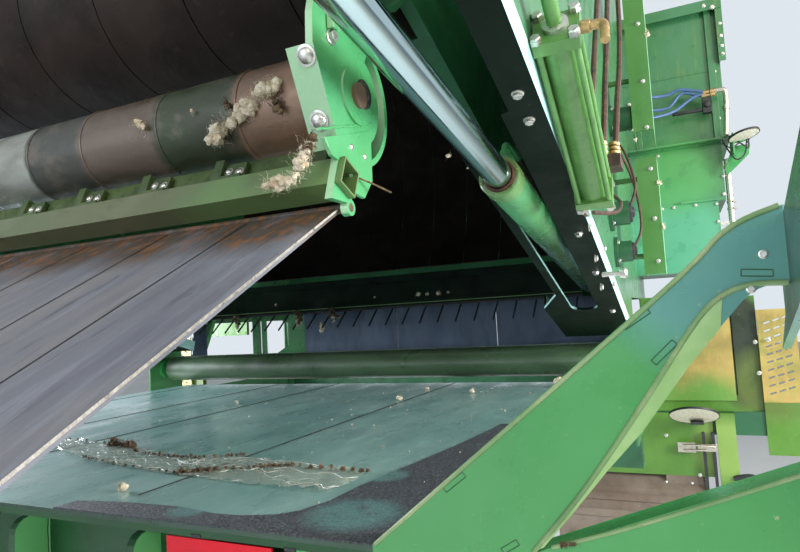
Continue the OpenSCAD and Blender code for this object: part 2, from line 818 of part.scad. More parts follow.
module deck_plate() {
    color(deck_green) difference() {
        union() {
            block([-deck_x, deck_x], [deck_rear, deck_front], [deck_low, deck_z]);
            both_sides() {
                block([deck_x - 8, deck_x], [deck_rear + 90, deck_front - 50], [deck_z - deck_edge_h, deck_low]);
                block([deck_beam_x, deck_beam_x + deck_beam_w], [deck_rear + 88, deck_front - 130],
                    [deck_z - deck_edge_h - 20, deck_low]);
                deck_knuckle();
                rod_lugs();
            }
            for (i = [0:4])
                block([-deck_x + 8, deck_x - 8], [deck_rear + 300 + i * 360, deck_rear + 308 + i * 360],
                    [deck_low - 56, deck_low]);
        }
        both_sides() shaft(hinge_x - 60, hinge_x + 60, deck_hinge, hinge_pin_r + pin_gap);
    }
}

module deck_knuckle() {
    across(hinge_x - hinge_gap / 2 + 5, hinge_x + hinge_gap / 2 - 5) union() {
        translate(deck_hinge) circle(r = 40);
        polygon([deck_hinge + [0, -40], deck_hinge + [40, 10], [deck_front, deck_low + 1],
            [deck_hinge[0] - 200, deck_low + 1], [deck_hinge[0] - 200, deck_low - 30]]);
    }
}

rod_lug_t = 12;
rod_lug_gap = 2 * deck_rod_r + 14;

module rod_lugs() {
    for (x = [deck_cyl_x - rod_lug_gap / 2 - rod_lug_t, deck_cyl_x + rod_lug_gap / 2])
        across(x, x + rod_lug_t) union() {
            translate(deck_cyl_eye) circle(r = 36);
            polygon([deck_cyl_eye + [-36, 0], deck_cyl_eye + [36, 0], [deck_cyl_eye[0] + 90, deck_low + 1],
                [deck_cyl_eye[0] - 90, deck_low + 1]]);
        }
}

grip_t = 3;

// Edge of the grit in the deck's rear corner: [x, y] from the corner
grip_edge = [
    [-720, 0], [-712, 48], [-610, 65], [-456, 72], [-355, 56], [-300, 59], [-239, 80], [-207, 112],
    [-184, 179], [-176, 284], [-153, 429], [-110, 677], [-85, 883], [-75, 1000], [0, 1000]];

module deck_grip() {
    color(black) both_sides() translate([deck_x, deck_rear, deck_z]) linear_extrude(height = grip_t)
        polygon(concat([[0, 0]], grip_edge));
}

// Rear beam: web, top and bottom flanges and rounded vertical gussets

rear_web_y = deck_rear + 80;
rear_beam_low = deck_z - 230;

module rear_beam() {
    gusset_pitch = 342;
    color(dark_green) {
        block([-deck_x, deck_x], [rear_web_y, rear_web_y + 8], [rear_beam_low, deck_low]);
        block([-deck_x, deck_x], [deck_rear, rear_web_y], [rear_beam_low, rear_beam_low + 8]);
        block([-deck_x, deck_x], [deck_rear, deck_rear + 8], [deck_low - 12, deck_low]);
        for (i = [-3:3])
            across(i * gusset_pitch - 10, i * gusset_pitch + 10) polygon(concat(
                [[rear_web_y, deck_low], [rear_web_y, rear_beam_low + 8], [deck_rear + 4, rear_beam_low + 8]],
                arc([rear_web_y - 46, deck_low - 58], 30, 180, 90, 4),
                [[rear_web_y - 20, deck_low]]));
    }
}

module reflectors() {
    color(red) both_sides() {
        block([780, 1010], [deck_rear + 2, deck_rear + 6], [deck_z - 110, deck_z - 24]);
        block([800, 990], [deck_rear + 6, rear_web_y], [deck_z - 80, deck_z - 60]);
    }
}

// Outriggers: formed sheet frames at the deck's rear corners.  Places are
// [x, z] in the rear view.

arm_y = [deck_rear, deck_rear + arm_depth];
arm_top_in = [deck_x, deck_z + 3];
arm_top_out = [deck_x + 517, deck_z + 430];
arm_end = deck_x + 568;
arm_inner_corner = [deck_x + 240, deck_z + 14];
brace_end = deck_x + 640;

// The upper arm and the lower brace spread from the deck's corner
function arm_outline() = concat(
    [[deck_x, deck_z - 200], arm_top_in, arm_top_out, [arm_end, deck_z + 448], [arm_end, deck_z + 357]],
    arc([arm_end - 8, deck_z + 300], 57, 90, 139, 4),
    [arm_inner_corner, [brace_end, deck_z + 170], [brace_end, deck_z - 29], [deck_x + 360, deck_z - 150],
        [deck_x + 220, deck_z - 200]]);

module outrigger() {
    color(green) {
        along(arm_y[0], arm_y[0] + arm_t) polygon(arm_outline());
        along(arm_y[0] + arm_t - 0.5, arm_y[1]) difference() {
            polygon(arm_outline());
            offset(delta = -arm_t) polygon(arm_outline());
        }
        end_plate();
    }
}

// Folded plate that joins the arm's end, behind the deck, to the brace's end
module end_plate() {
    plate_t = 10;
    rear = deck_rear - 190;
    across(arm_end, arm_end + plate_t) polygon([
        [deck_rear + 58, deck_z + 456], [deck_rear + 58, deck_z + 320], [deck_rear + 113, deck_z + 272],
        [deck_rear - 50, deck_z + 333], [rear, deck_z + 386], [rear, deck_z + 522],
        [deck_rear - 1, deck_z + 440]]);
    block([arm_end, brace_end + plate_t], [rear, rear + plate_t], [deck_z + 390, deck_z + 516]);
    across(brace_end, brace_end + plate_t) polygon([
        [rear, deck_z + 516], [rear, deck_z + 280], [deck_rear - 30, deck_z - 29], [deck_rear + 58, deck_z - 29],
        [deck_rear + 58, deck_z + 180], [rear + 100, deck_z + 390], [rear + 100, deck_z + 516]]);
}

module outrigger_right() { on_side(1) outrigger(); }
module outrigger_left() { on_side(-1) outrigger(); }

// Gear on the outside of the walls

guard_x = [wall_out + 93, wall_out + 171];
guard_y = [-900, -740];
// columns: low z, high z, height of the bevel at the foot
guard_spans = [[880, 1350, 0], [1420, 2240, 40]];

module guards() {
    color(green) both_sides() {
        for (g = guard_spans) difference() {
            block(guard_x, guard_y, [g[0], g[1]]);
            block([guard_x[0] + 6, guard_x[1] - 6], [guard_y[0] + 6, guard_y[1] + 1], [g[0] - 1, g[1] + 1]);
            across(guard_x[0] - 1, guard_x[1] + 1)
                polygon([[guard_y[0] - 1, g[0] - 1], [guard_y[1] + 1, g[0] - 1], [guard_y[0] - 1, g[0] + g[2]]]);
        }
        for (z = [960, 1280, 1700, 2120])
            shaft(wall_out, guard_x[0] + 1, [guard_y[0] + 80, z], 11);
    }
}

box_y = 300;
// columns: low z, high z, reach from the wall, step back from the rear face
box_steps = [[930, 1320, 450, 0], [1320, 1650, 490, 12], [1660, 2440, 522, 0]];

ledge_x = wall_out + 535;

top_x = wall_out + 550;

module side_boxes() {
    color(green) {
        for (b = box_steps)
            block([wall_out + seat, wall_out + b[2]], [box_y + b[3], box_y + box_depth], [b[0], b[1]]);
        block([wall_out + seat, ledge_x], [box_y - 60, box_y + box_depth], [1650, 1660]);
        block([wall_out + seat, top_x], [box_y - 50, box_y + 30], [2440, 2450]);
        block([wall_out + seat, top_x], [box_y - 50, box_y - 44], [2390, 2440]);
        block([top_x - 34, top_x], [box_y - 44, box_y - 38], [2090, 2440]);
        block([top_x - 34, top_x - 28], [box_y - 44, box_y], [2090, 2440]);
        block([wall_out + 260, wall_out + 450], [box_y - 16, box_y + 12], [1320, 1330]);
    }
}

module side_boxes_right() { on_side(1) side_boxes(); }
module side_boxes_left() { on_side(-1) side_boxes(); }

tension_x = wall_out + 45;
tension_low = [-2000, 1040];
tension_top = [-2380, 1260];
tension_rod = 400;
tension_dir = unit(tension_top - tension_low);
tension_pin = tension_low - 20 * tension_dir;
tension_tip = tension_top + (20 + tension_rod) * tension_dir;

module tension_cylinders() {
    run = norm(tension_top - tension_low);
    color(green) both_sides() {
        aimed(tension_x, tension_low, tension_top) {
            cylinder(r = 36, h = run);
            translate([-42, -42, run - 2]) cube([84, 84, 26]);
            translate([-42, -42, -20]) cube([84, 84, 22]);
            for (sx = [-34, 34]) for (sy = [-34, 34])
                translate([sx, sy, -24]) cylinder(r = 6, h = run + 56, $fn = 24);
            translate([0, 0, run + 20]) cylinder(r = 14, h = tension_rod);
            translate([-18, 0, -20]) rotate([0, 90, 0]) cylinder(r = 26, h = 36);
        }
        across(wall_out, wall_out + 12) hull() {
            translate(tension_pin) circle(r = 30);
            translate([tension_pin[0] + 20, strut_low(tension_pin[0]) + 40]) circle(r = 30);
        }
        shaft(wall_out, tension_x, tension_pin, 18);
        shaft(wall_out, tension_x + 16, tension_tip, 12);
        shaft(tension_x - 16, tension_x + 16, tension_tip, 24);
    }
}

// columns: reach from the wall, y, z of each point that a hose passes
hose_routes = [
    [[30, -1920, 1135], [40, -1900, 1220], [50, -1850, 1370], [52, -1700, 1560], [54, -1480, 1840],
        [52, -1300, 2120]],
    [[60, -1890, 1135], [68, -1860, 1230], [72, -1780, 1370], [74, -1640, 1540], [72, -1380, 1840],
        [70, -1180, 2120]],
    [[88, -1860, 1135], [94, -1820, 1230], [96, -1720, 1340], [98, -1540, 1500], [96, -1300, 1760],
        [90, -1080, 2120]]
];

module hoses() {
    color("#3a2d28") both_sides() {
        translate([wall_out, 0, 0]) for (r = hose_routes) tube(r, hose_r, 8, 3);
        block([wall_out, wall_out + 105], [-1310, -1070], [2120, 2150]);
    }
    color(steel) both_sides() block([wall_out, wall_out + 105], [-1930, -1840], [1108, 1138]);
}

// columns: y, z, flange radius, housing radius, reach
bearings = [[-1150, 1100, 62, 44, 70], [-1040, 968, 58, 40, 62], [-830, 1540, 66, 50, 88]];

module wall_bearings() {
    color(dark_green) both_sides() for (b = bearings) {
        shaft(wall_out + seat, wall_out + 14, [b[0], b[1]], b[2]);
        shaft(wall_out + 14, wall_out + b[4], [b[0], b[1]], b[3]);
    }
}

// columns: x, y, z of each lamp's centre, radius, lean from facing rearward
// to facing down, sideways roll
lamps = [
    [wall_out + 589, 165, 1633, lamp_r, 82, -12],
    [wall_out + 230, 180, 151, 1.63 * lamp_r, 62, 0]
];
lamp_t = 50;

module work_lamps() {
    upper = lamps[0];
    lower = lamps[1];
    color(lens) both_sides() {
        for (p = lamps)
            translate([p[0], p[1], p[2]]) rotate([90 + p[4], p[5], 0])
                cylinder(r = p[3], h = lamp_t, center = true);
        block([ledge_x + seat, ledge_x + 8], [upper[1] + 20, box_y + 60], [upper[2] - 90, 1660]);
        block([lower[0] - 16, lower[0] + 16], [lower[1] + 20, front_beam_y[0] - 12 - seat], [100, 130]);
    }
}

pipe_x = wall_out + 512;

module drain_pipes() {
    color(steel) both_sides() {
        translate([pipe_x, box_y + 30, 1150]) cylinder(r = 17, h = 400);
        for (clip = [[0, 1180], [1, 1500]])
            block([wall_out + box_steps[clip[0]][2] + seat, pipe_x], [box_y + 22, box_y + 38],
                [clip[1], clip[1] + 20]);
    }
}

// Lower side panels hung from the front cross beam
skirt_y = front_beam_y[0];
skirt_x = wall_out + 520;

module side_skirts() {
    color(green) both_sides() {
        block([wall_out + seat, skirt_x], [skirt_y - 8, skirt_y + 20], [beam_top, beam_top + 90]);
        block([wall_out + seat, skirt_x], [skirt_y - 8, skirt_y + 20], [700, 800]);
        block([skirt_x - 60, skirt_x], [skirt_y - 8, skirt_y + 20], [beam_top + 60, 720]);
        block([skirt_x - 70, skirt_x + 60], [skirt_y + 12, skirt_y + 20], [beam_top, 780]);
        block([wall_out - 390, wall_out + 320], [skirt_y - 12, skirt_y - seat], [-210, beam_top - 10]);
        block([wall_out + 336, wall_out + 430], [skirt_y - 40, skirt_y - seat], [-320, beam_top - 6]);
        block([skirt_x + 60, skirt_x + 240], [skirt_y - 12, skirt_y - seat], [-80, beam_top + 50]);
        block([skirt_x + 60, out_beam_x], [skirt_y - seat, skirt_y + 20], [beam_top, 560]);
    }
}

// Plain panel above the right rail and slotted panels outside both walls
slot_pitch = 42;
slot_rows = 10;
slot_columns = 3;

module side_panels() {
    color(amber) {
        block([wall_out + 40, skirt_x - 70], [skirt_y - 20, skirt_y - 8], [beam_top + 60, 780]);
        both_sides() difference() {
            block([skirt_x + 60, skirt_x + 240], [skirt_y - 12, skirt_y - seat],
                [beam_top + 50 + seat, 700]);
            for (i = [0:slot_rows - 1]) for (k = [0:slot_columns - 1])
                translate([skirt_x + 106 + k * 44, skirt_y, 250 + i * slot_pitch + k * 14])
                    rotate([0, -20, 0]) cube([32, 40, 9], center = true);
        }
    }
}

// Mudguard behind and above the wheel, with ribs across it
wheel_c = [620, -560];
guard_r = 430;
guard_t = 8;

function band(r, t, a0, a1, n) = concat(arc(wheel_c, r + t, a0, a1, n), arc(wheel_c, r, a1, a0, n));

module mudguards() {
    color(black) both_sides() {
        across(wall_out - 540, wall_out + 260) polygon(band(guard_r - guard_t, guard_t, 12, 205, 18));
        for (a = [146, 158, 176]) across(wall_out - 480, wall_out + 226) polygon(band(guard_r - 1, 11, a, a + 5, 2));
        block([wall_out + 60, wall_out + 250], [skirt_y - 12, skirt_y - seat], [-260, -210 - seat]);
    }
}

base_frame();
side_wall_right();
side_wall_left();
side_strut_right();
side_strut_left();
top_tubes();
front_sheets();
front_rollers();
front_belts();
comb_beam();
comb_tines();
curtain();
window_frame();
starter_bearings();
starter_roller();
gate_frame_right();
gate_frame_left();
gate_rollers();
gate_belts();
drum();
tail_bracket_right();
tail_bracket_left();
tail_roller();
scraper_bar();
scraper_clips();
apron();
gate_barrel_right();
gate_barrel_left();
gate_rod_right();
gate_rod_left();
deck_plate();
deck_grip();
rear_beam();
reflectors();
outrigger_right();
outrigger_left();
deck_barrels();
deck_rods();
guards();
side_boxes_right();
side_boxes_left();
tension_cylinders();
hoses();
wall_bearings();
work_lamps();
drain_pipes();
side_skirts();
side_panels();
mudguards();
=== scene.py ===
"""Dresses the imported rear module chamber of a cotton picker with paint, wear, fasteners and field dirt."""

import logging
import math
from collections.abc import Iterable, Sequence
from dataclasses import dataclass
from enum import Enum

import bmesh
import bpy
import numpy as np
from mathutils import Matrix, Vector, noise


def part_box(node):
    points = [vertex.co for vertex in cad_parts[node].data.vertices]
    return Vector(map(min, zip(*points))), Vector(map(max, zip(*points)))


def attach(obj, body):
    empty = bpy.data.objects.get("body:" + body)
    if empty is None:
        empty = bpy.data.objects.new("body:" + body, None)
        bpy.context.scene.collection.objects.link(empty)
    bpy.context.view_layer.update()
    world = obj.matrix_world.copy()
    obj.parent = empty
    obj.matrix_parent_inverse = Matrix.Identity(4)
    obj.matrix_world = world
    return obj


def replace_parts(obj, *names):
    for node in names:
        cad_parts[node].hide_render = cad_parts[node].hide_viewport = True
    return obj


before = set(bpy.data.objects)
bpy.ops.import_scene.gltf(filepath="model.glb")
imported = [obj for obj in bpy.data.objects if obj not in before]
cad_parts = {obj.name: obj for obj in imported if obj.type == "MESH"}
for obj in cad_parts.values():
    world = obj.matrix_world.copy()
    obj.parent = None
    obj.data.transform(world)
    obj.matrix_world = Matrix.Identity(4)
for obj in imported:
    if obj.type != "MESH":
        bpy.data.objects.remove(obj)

log = logging.getLogger("module_chamber")

MM = 0.001
IMAGE_WIDTH = 800
IMAGE_HEIGHT = 552
FULL_TURN = 2 * math.pi
# Sockets of the Mix node when it mixes colours
MASK, UNDER, OVER, MIXED = 0, 6, 7, 2
# Edges sharper than this many degrees stay sharp, on made parts and on loose fibre
CRISP, MATTED = 35.0, 60.0
Spot = tuple[float, float, float, float]
# The numbers of a place, a direction or a scale, by axis
Place = Sequence[float]
Tree = bpy.types.NodeTree
Node = bpy.types.Node
Socket = bpy.types.NodeSocket
Source = Node | Socket


class Body(Enum):
    """The moving bodies that a piece can ride on."""

    ROOT = "root"
    GATE = "gate"
    TAIL = "tail_roller"
    APRON = "apron"
    DECK = "deck"
    BARREL_RIGHT = "gate_barrel_right"
    BARREL_LEFT = "gate_barrel_left"


def linear(code: str) -> tuple[float, float, float, float]:
    """Turns an sRGB hex colour into a linear one.

    Args:
        code: the colour, such as "#3fa352".

    Returns:
        Red, green, blue and a full alpha.
    """
    parts = [int(code[i : i + 2], 16) / 255 for i in (1, 3, 5)]
    red, green, blue = [v / 12.92 if v <= 0.04045 else ((v + 0.055) / 1.055) ** 2.4 for v in parts]
    return red, green, blue, 1.0


def add_node(tree: Tree, kind: str, settings: dict | None = None, links: dict | None = None) -> Node:
    """Adds one node to a tree.

    Args:
        tree: the node tree.
        kind: the node's type name, without its prefix.
        settings: values of its inputs, by name or number, and of its own properties.
        links: what feeds its inputs: a socket, or a node for its first output.

    Returns:
        The node.
    """
    node = tree.nodes.new(f"ShaderNode{kind}")
    properties = {k: v for k, v in (settings or {}).items() if isinstance(k, str) and hasattr(node, k)}
    for key, value in properties.items():
        setattr(node, key, value)
    for key, value in (settings or {}).items():
        if key not in properties:
            node.inputs[key].default_value = value
    for key, source in (links or {}).items():
        socket = source if isinstance(source, Socket) else source.outputs[0]
        tree.links.new(socket, node.inputs[key])
    return node


def combine(tree: Tree, operation: str, first: Source, second: Source) -> Node:
    """Adds a math node that joins two values."""
    return add_node(tree, "Math", {"operation": operation}, {0: first, 1: second})


def rescale(tree: Tree, value: Source, low: float = 0, high: float = 1, to_low: float = 0,
            to_high: float = 1) -> Node:
    """Adds a node that turns the range low to high into the range to_low to to_high."""
    return add_node(tree, "MapRange", {
        "From Min": low, "From Max": high, "To Min": to_low, "To Max": to_high}, {"Value": value})


def patches(tree: Tree, where: Socket, size_mm: float, low: float, high: float,
            stretch: Place = (1, 1, 1), grain: float = 0.55) -> Node:
    """Makes a mask of cloudy patches.

    Args:
        tree: the material's node tree.
        where: the socket that gives the place on the piece, in metres.
        size_mm: the patches' size on the real piece.
        low: noise value below which the mask is 0.
        high: noise value above which the mask is 1.
        stretch: how many times finer the pattern is along each axis.
        grain: how ragged the patches' edges are, from 0 to 1.

    Returns:
        The node whose output is the mask.
    """
    scale = [s / (size_mm * MM) for s in stretch]
    placed = add_node(tree, "Mapping", {"Scale": scale}, {"Vector": where})
    cloud = add_node(tree, "TexNoise", {"Scale": 1.0, "Detail": 5.0, "Roughness": grain}, {"Vector": placed})
    return rescale(tree, cloud, low, high)


@dataclass(frozen=True)
class Layer:
    """A cover of colour that lies on a finish in patches.

    size_mm is the patches' size, low and high the noise values between which the cover grows from none
    to full, strength the most that it covers, stretch how much finer it is along each axis, and settles
    the share of it that only lies on faces that look up.  faces limits it to faces square to that axis,
    and spots to round places, each an x, y, z and radius in metres.
    """

    colour: str
    size_mm: float
    low: float = 0.4
    high: float = 0.65
    strength: float = 1.0
    stretch: tuple[float, float, float] = (1, 1, 1)
    settles: float = 0.0
    grain: float = 0.55
    faces: int | None = None
    spots: tuple[Spot, ...] = ()

    def share(self, tree: Tree, where: Socket, normal: Node) -> Node:
        """Works out how much of the surface the layer covers.

        Args:
            tree: the material's node tree.
            where: the socket that gives the place on the piece.
            normal: the node whose outputs are the parts of the surface's direction.

        Returns:
            The node of the share, from 0 to 1.
        """
        mask = patches(tree, where, self.size_mm, self.low, self.high, self.stretch, self.grain)
        lies = rescale(tree, normal.outputs[2], 0.2, 0.9, self.strength * (1 - self.settles), self.strength)
        share = combine(tree, "MULTIPLY", mask, lies)
        if self.faces is not None:
            square = add_node(tree, "Math", {"operation": "ABSOLUTE"}, {0: normal.outputs[self.faces]})
            share = combine(tree, "MULTIPLY", share, rescale(tree, square, 0.6, 0.9))
        near = None
        for x, y, z, radius in self.spots:
            away = add_node(tree, "VectorMath", {"operation": "DISTANCE", 1: (x, y, z)}, {0: where})
            spot = rescale(tree, away.outputs["Value"], radius, radius * 0.6)
            near = spot if near is None else combine(tree, "MAXIMUM", near, spot)
        return share if near is None else combine(tree, "MULTIPLY", share, near)


def flecks(colour: str, size_mm: float, low: float = 0.66, high: float = 0.72, strength: float = 0.5,
           stretch: Place = (1, 1, 1)) -> Layer:
    """Makes a layer of small ragged specks."""
    return Layer(colour, size_mm, low, high, strength, stretch, grain=0.7)


def both_sides(*spots: Spot) -> tuple[Spot, ...]:
    """Repeats round places on the machine's other side."""
    return tuple((side * x, y, z, radius) for side in (1, -1) for x, y, z, radius in spots)


def across_apron(y: float, radius: float) -> tuple[Spot, ...]:
    """Gives round places in a row along the apron's upper edge."""
    return tuple((0.22 * k, y, 0.95, radius) for k in range(-5, 6))


@dataclass(frozen=True)
class Finish:
    """A finish as a real material and process, with its covers of dust, wear and rust, and on some finishes
    painted light and shade.

    roughness holds the values of its glossiest and dullest patches, and gloss_mm their size.  relief has a
    row for each scale of unevenness: its size and depth in mm, and how much finer it is along each axis.
    """

    name: str
    colour: str
    layers: tuple[Layer, ...] = ()
    roughness: tuple[float, float] = (0.35, 0.6)
    relief: tuple[tuple, ...] = ()
    gloss_mm: float = 90.0
    gloss_stretch: tuple[float, float, float] = (1, 1, 1)
    metallic: float = 0.0
    coat: float = 0.0
    specular: float = 0.5
    see_through: float = 0.0

    def ground(self, tree: Tree, where: Socket) -> Socket | None:
        """Gives the colour under all the layers, or None for the plain colour."""
        return None

    def paint(self, tree: Tree, where: Socket) -> Socket:
        """Lays the finish's layers over its ground.

        Args:
            tree: the material's node tree.
            where: the socket that gives the place on the piece.

        Returns:
            The socket of the finished colour.
        """
        colour = self.ground(tree, where)
        direction = add_node(tree, "TexCoord").outputs["Normal"]
        normal = add_node(tree, "SeparateXYZ", links={0: direction})
        for layer in self.layers:
            settings = {"data_type": "RGBA", OVER: linear(layer.colour)}
            links = {MASK: layer.share(tree, where, normal)}
            if colour is None:
                settings[UNDER] = linear(self.colour)
            else:
                links[UNDER] = colour
            colour = add_node(tree, "Mix", settings, links).outputs[MIXED]
        return colour

    def bumps(self, tree: Tree, where: Socket) -> Node | None:
        """Adds the reliefs one on another.

        Args:
            tree: the material's node tree.
            where: the socket that gives the place on the piece.

        Returns:
            The last bump node, or None for a smooth surface.
        """
        last = None
        for size_mm, depth_mm, *stretch in self.relief:
            links = {"Height": patches(tree, where, size_mm, 0.25, 0.75, *stretch)}
            if last is not None:
                links["Normal"] = last
            last = add_node(tree, "Bump", {"Strength": 1.0, "Distance": depth_mm * MM}, links)
        return last

    def build(self) -> bpy.types.Material:
        """Builds the material, or finds it where it is already built.

        Returns:
            The material.
        """
        made = bpy.data.materials.get(self.name)
        if made is not None:
            return made
        made = bpy.data.materials.new(self.name)
        made.use_nodes = True
        tree = made.node_tree
        tree.nodes.clear()
        where = add_node(tree, "TexCoord").outputs["Object"]
        settings = {"Metallic": self.metallic, "IOR": 1.5, "Coat Weight": self.coat, "Coat Roughness": 0.25,
                    "Specular IOR Level": self.specular, "Alpha": 1 - self.see_through}
        gloss = patches(tree, where, self.gloss_mm, 0.35, 0.65, self.gloss_stretch)
        dull = rescale(tree, gloss, 0, 1, *self.roughness)
        links = {"Roughness": dull, "Base Color": self.paint(tree, where)}
        bump = self.bumps(tree, where)
        if bump is not None:
            links["Normal"] = bump
        shader = add_node(tree, "BsdfPrincipled", settings, links)
        add_node(tree, "OutputMaterial", links={"Surface": shader})
        return made


@dataclass(frozen=True)
class BandedRoller(Finish):
    """A rolled steel tube whose paint is left in bands.

    bands holds pairs of an x in metres and the colour from there on, span the x of the tube's ends, and
    blur_m how far one band runs into the next.
    """

    bands: tuple[tuple[float, str], ...] = ()
    span: tuple[float, float] = (-1.2, 1.2)
    blur_m: float = 0.006

    def ground(self, tree: Tree, where: Socket) -> Socket:
        """Colours the tube in bands along x, with edges worn a little ragged.

        Args:
            tree: the material's node tree.
            where: the socket that gives the place on the piece.

        Returns:
            The socket of the bands' colour.
        """
        along = add_node(tree, "SeparateXYZ", links={0: where}).outputs[0]
        ragged = patches(tree, where, 25, 0.2, 0.8)
        worn = {"operation": "MULTIPLY_ADD", 1: 2 * self.blur_m}
        shift = add_node(tree, "Math", worn, {0: ragged, 2: along})
        ramp = add_node(tree, "ValToRGB", links={0: rescale(tree, shift, *self.span)})
        width = self.span[1] - self.span[0]
        stops = ramp.color_ramp.elements
        last = self.bands[0][1]
        stops[0].position, stops[0].color = 0.0, linear(last)
        stops[1].position, stops[1].color = 1.0, linear(self.bands[-1][1])
        for x, colour in self.bands[1:]:
            for offset, shade in ((-self.blur_m / width, last), (0.0, colour)):
                stops.new((x - self.span[0]) / width + offset).color = linear(shade)
            last = colour
        return ramp.outputs[0]


# Powder coat over mild steel: a smooth, slightly wavy gloss film, dulled by field dust and faded on top
GREEN_COAT = Finish(
    "powder_coated_steel_green", "#2b8440", (Layer("#469a58", 620, 0.42, 0.62, 0.6),
    Layer("#1d6630", 170, 0.52, 0.75, 0.45), Layer("#7fae7c", 90, 0.52, 0.8, 0.35, settles=0.5),
    flecks("#b9b48c", 9), flecks("#16311c", 6, 0.7, 0.74, 0.7)), (0.2, 0.42), ((140, 0.6), (7, 0.06)),
    coat=0.25)
# The same coat as it looks in full sun: olive with painted sunlight, and a pale painted sky highlight on the
# faces that look sideways
SUNLIT_GUARD_COAT = Finish(
    "powder_coated_steel_sunlit", "#447834", (Layer("#52874a", 340, 0.42, 0.62, 0.6),
    Layer("#2f6526", 120, 0.5, 0.72, 0.55, (1, 1, 0.5)), Layer("#8fc9a0", 60, 0.0, 0.2, 0.8, faces=0),
    flecks("#b6b487", 8)), (0.25, 0.45), ((120, 0.5), (7, 0.06)), coat=0.2)
# The same coat on thin sheet boxes: bluish where the sky falls on it, olive with seepage below joints
SHEET_COAT = Finish(
    "powder_coated_sheet_green", "#396d3c", (Layer("#427a5c", 420, 0.4, 0.62, 0.55),
    Layer("#2c6a36", 220, 0.48, 0.7, 0.6, (1, 1, 0.5)), Layer("#7d8a4c", 60, 0.56, 0.76, 0.4, (2, 1, 0.3)),
    flecks("#c2c39c", 9, 0.66, 0.73), flecks("#1c3a22", 7, 0.69, 0.74, 0.6),
    Layer("#56a884", 90, 0.1, 0.4, 0.7, spots=both_sides((1.66, 0.3, 1.12, 0.34))),
    Layer("#4b974f", 90, 0.1, 0.4, 0.75, spots=both_sides((1.69, 0.31, 1.49, 0.26)))), (0.25, 0.48),
    ((190, 1.0), (8, 0.06)), coat=0.1)
# The same coat darkened as painted shade, for parts that stay in shade and in the crop's path, with darker
# patches and dust
SHADE_DARKENED_COAT = Finish(
    "powder_coated_steel_shade_darkened", "#1d5433", (Layer("#245f38", 420, 0.42, 0.66, 0.6),
    Layer("#0c2414", 120, 0.5, 0.75, 0.5), Layer("#5d6a4a", 30, 0.58, 0.85, 0.3, settles=0.7),
    flecks("#8a8a6c", 8, 0.69, 0.74, 0.4)), (0.3, 0.55), ((160, 0.6), (8, 0.08)), coat=0.1)
# Chamber steel painted near black: painted shade for the dark chamber, over crop stain and dust
STAIN_AND_SHADE_COAT = Finish(
    "powder_coated_steel_stain_and_shade", "#0d1c12", (Layer("#17301d", 380, 0.46, 0.68, 0.6),
    Layer("#060a07", 140, 0.5, 0.72, 0.6), flecks("#4a4a38", 10, 0.68, 0.75, 0.4)), (0.5, 0.8),
    ((160, 0.6), (8, 0.1)), specular=0.15)
# Strut: near-black painted shade on the faces that look down, and a pale painted sky highlight on the faces
# that look sideways
SHADE_AND_SKY_LIGHT_COAT = Finish(
    "powder_coated_steel_painted_light_and_shade", "#06180e", (Layer("#041208", 260, 0.48, 0.7, 0.6),
    Layer("#b4e4da", 260, 0.0, 0.15, faces=0), Layer("#cdeee8", 90, 0.5, 0.7, 0.5, faces=0),
    Layer("#3f8a68", 60, 0.62, 0.78, 0.35, faces=0), flecks("#8d9277", 9, 0.67, 0.74, 0.35)), (0.4, 0.6),
    ((120, 0.5), (7, 0.06)), specular=0.12)
# Tail bracket: bright coat, with a pale painted highlight on the faces that look fore and aft, such as the
# bend that faces rearward
BRACKET_COAT = Finish(
    "powder_coated_bracket_painted_highlight", "#479559", (Layer("#58a873", 160, 0.45, 0.65, 0.5),
    Layer("#2f7d48", 90, 0.56, 0.74, 0.45), Layer("#a3cba2", 160, 0.0, 0.2, 0.85, faces=1),
    flecks("#c9c39c", 9), flecks("#16311c", 6, 0.7, 0.74, 0.6)), (0.22, 0.42), ((120, 0.5), (7, 0.06)),
    coat=0.15)
# Clips: olive coat oiled by crop juice
CLIP_COAT = Finish(
    "powder_coated_clip_oiled", "#3b4d2b", (Layer("#55663c", 40, 0.45, 0.65, 0.6),
    Layer("#1f2a17", 22, 0.52, 0.7, 0.6), flecks("#8a8a66", 7, 0.66, 0.73)), (0.35, 0.55),
    ((30, 0.2), (7, 0.08)), specular=0.35)
# Rear beam: web in shade and dark, gusset plates that catch the sky from the side
BEAM_COAT = Finish(
    "powder_coated_beam_sided", "#1b4424", (Layer("#26592f", 240, 0.45, 0.65, 0.5),
    Layer("#0f2a15", 90, 0.54, 0.74, 0.5), Layer("#7cd083", 200, 0.0, 0.15, 0.95, faces=0),
    flecks("#9c9c74", 8, 0.67, 0.73)), (0.3, 0.5), ((120, 0.5), (7, 0.07)), specular=0.35)
# Outrigger: clean coat low down, bluish near its top as painted sky light, and painted shade on the end
# plate's side faces
ARM_COAT = Finish(
    "powder_coated_outrigger", "#3c8a46", (Layer("#4a9457", 420, 0.42, 0.62, 0.6),
    Layer("#2f7a3c", 170, 0.54, 0.76, 0.45),
    Layer("#54898c", 240, 0.1, 0.4, 0.75, spots=both_sides((1.7, -2.67, 0.84, 0.19))),
    # painted shade: the end plate's faces that look sideways are darkened
    Layer("#1d3a2f", 240, 0.0, 0.2, 0.95, faces=0, spots=both_sides((1.8, -2.8, 0.9, 0.42))),
    flecks("#b9b48c", 9, 0.67, 0.73), flecks("#16311c", 6, 0.7, 0.74, 0.7)), (0.22, 0.42),
    ((140, 0.6), (7, 0.06)), coat=0.15)
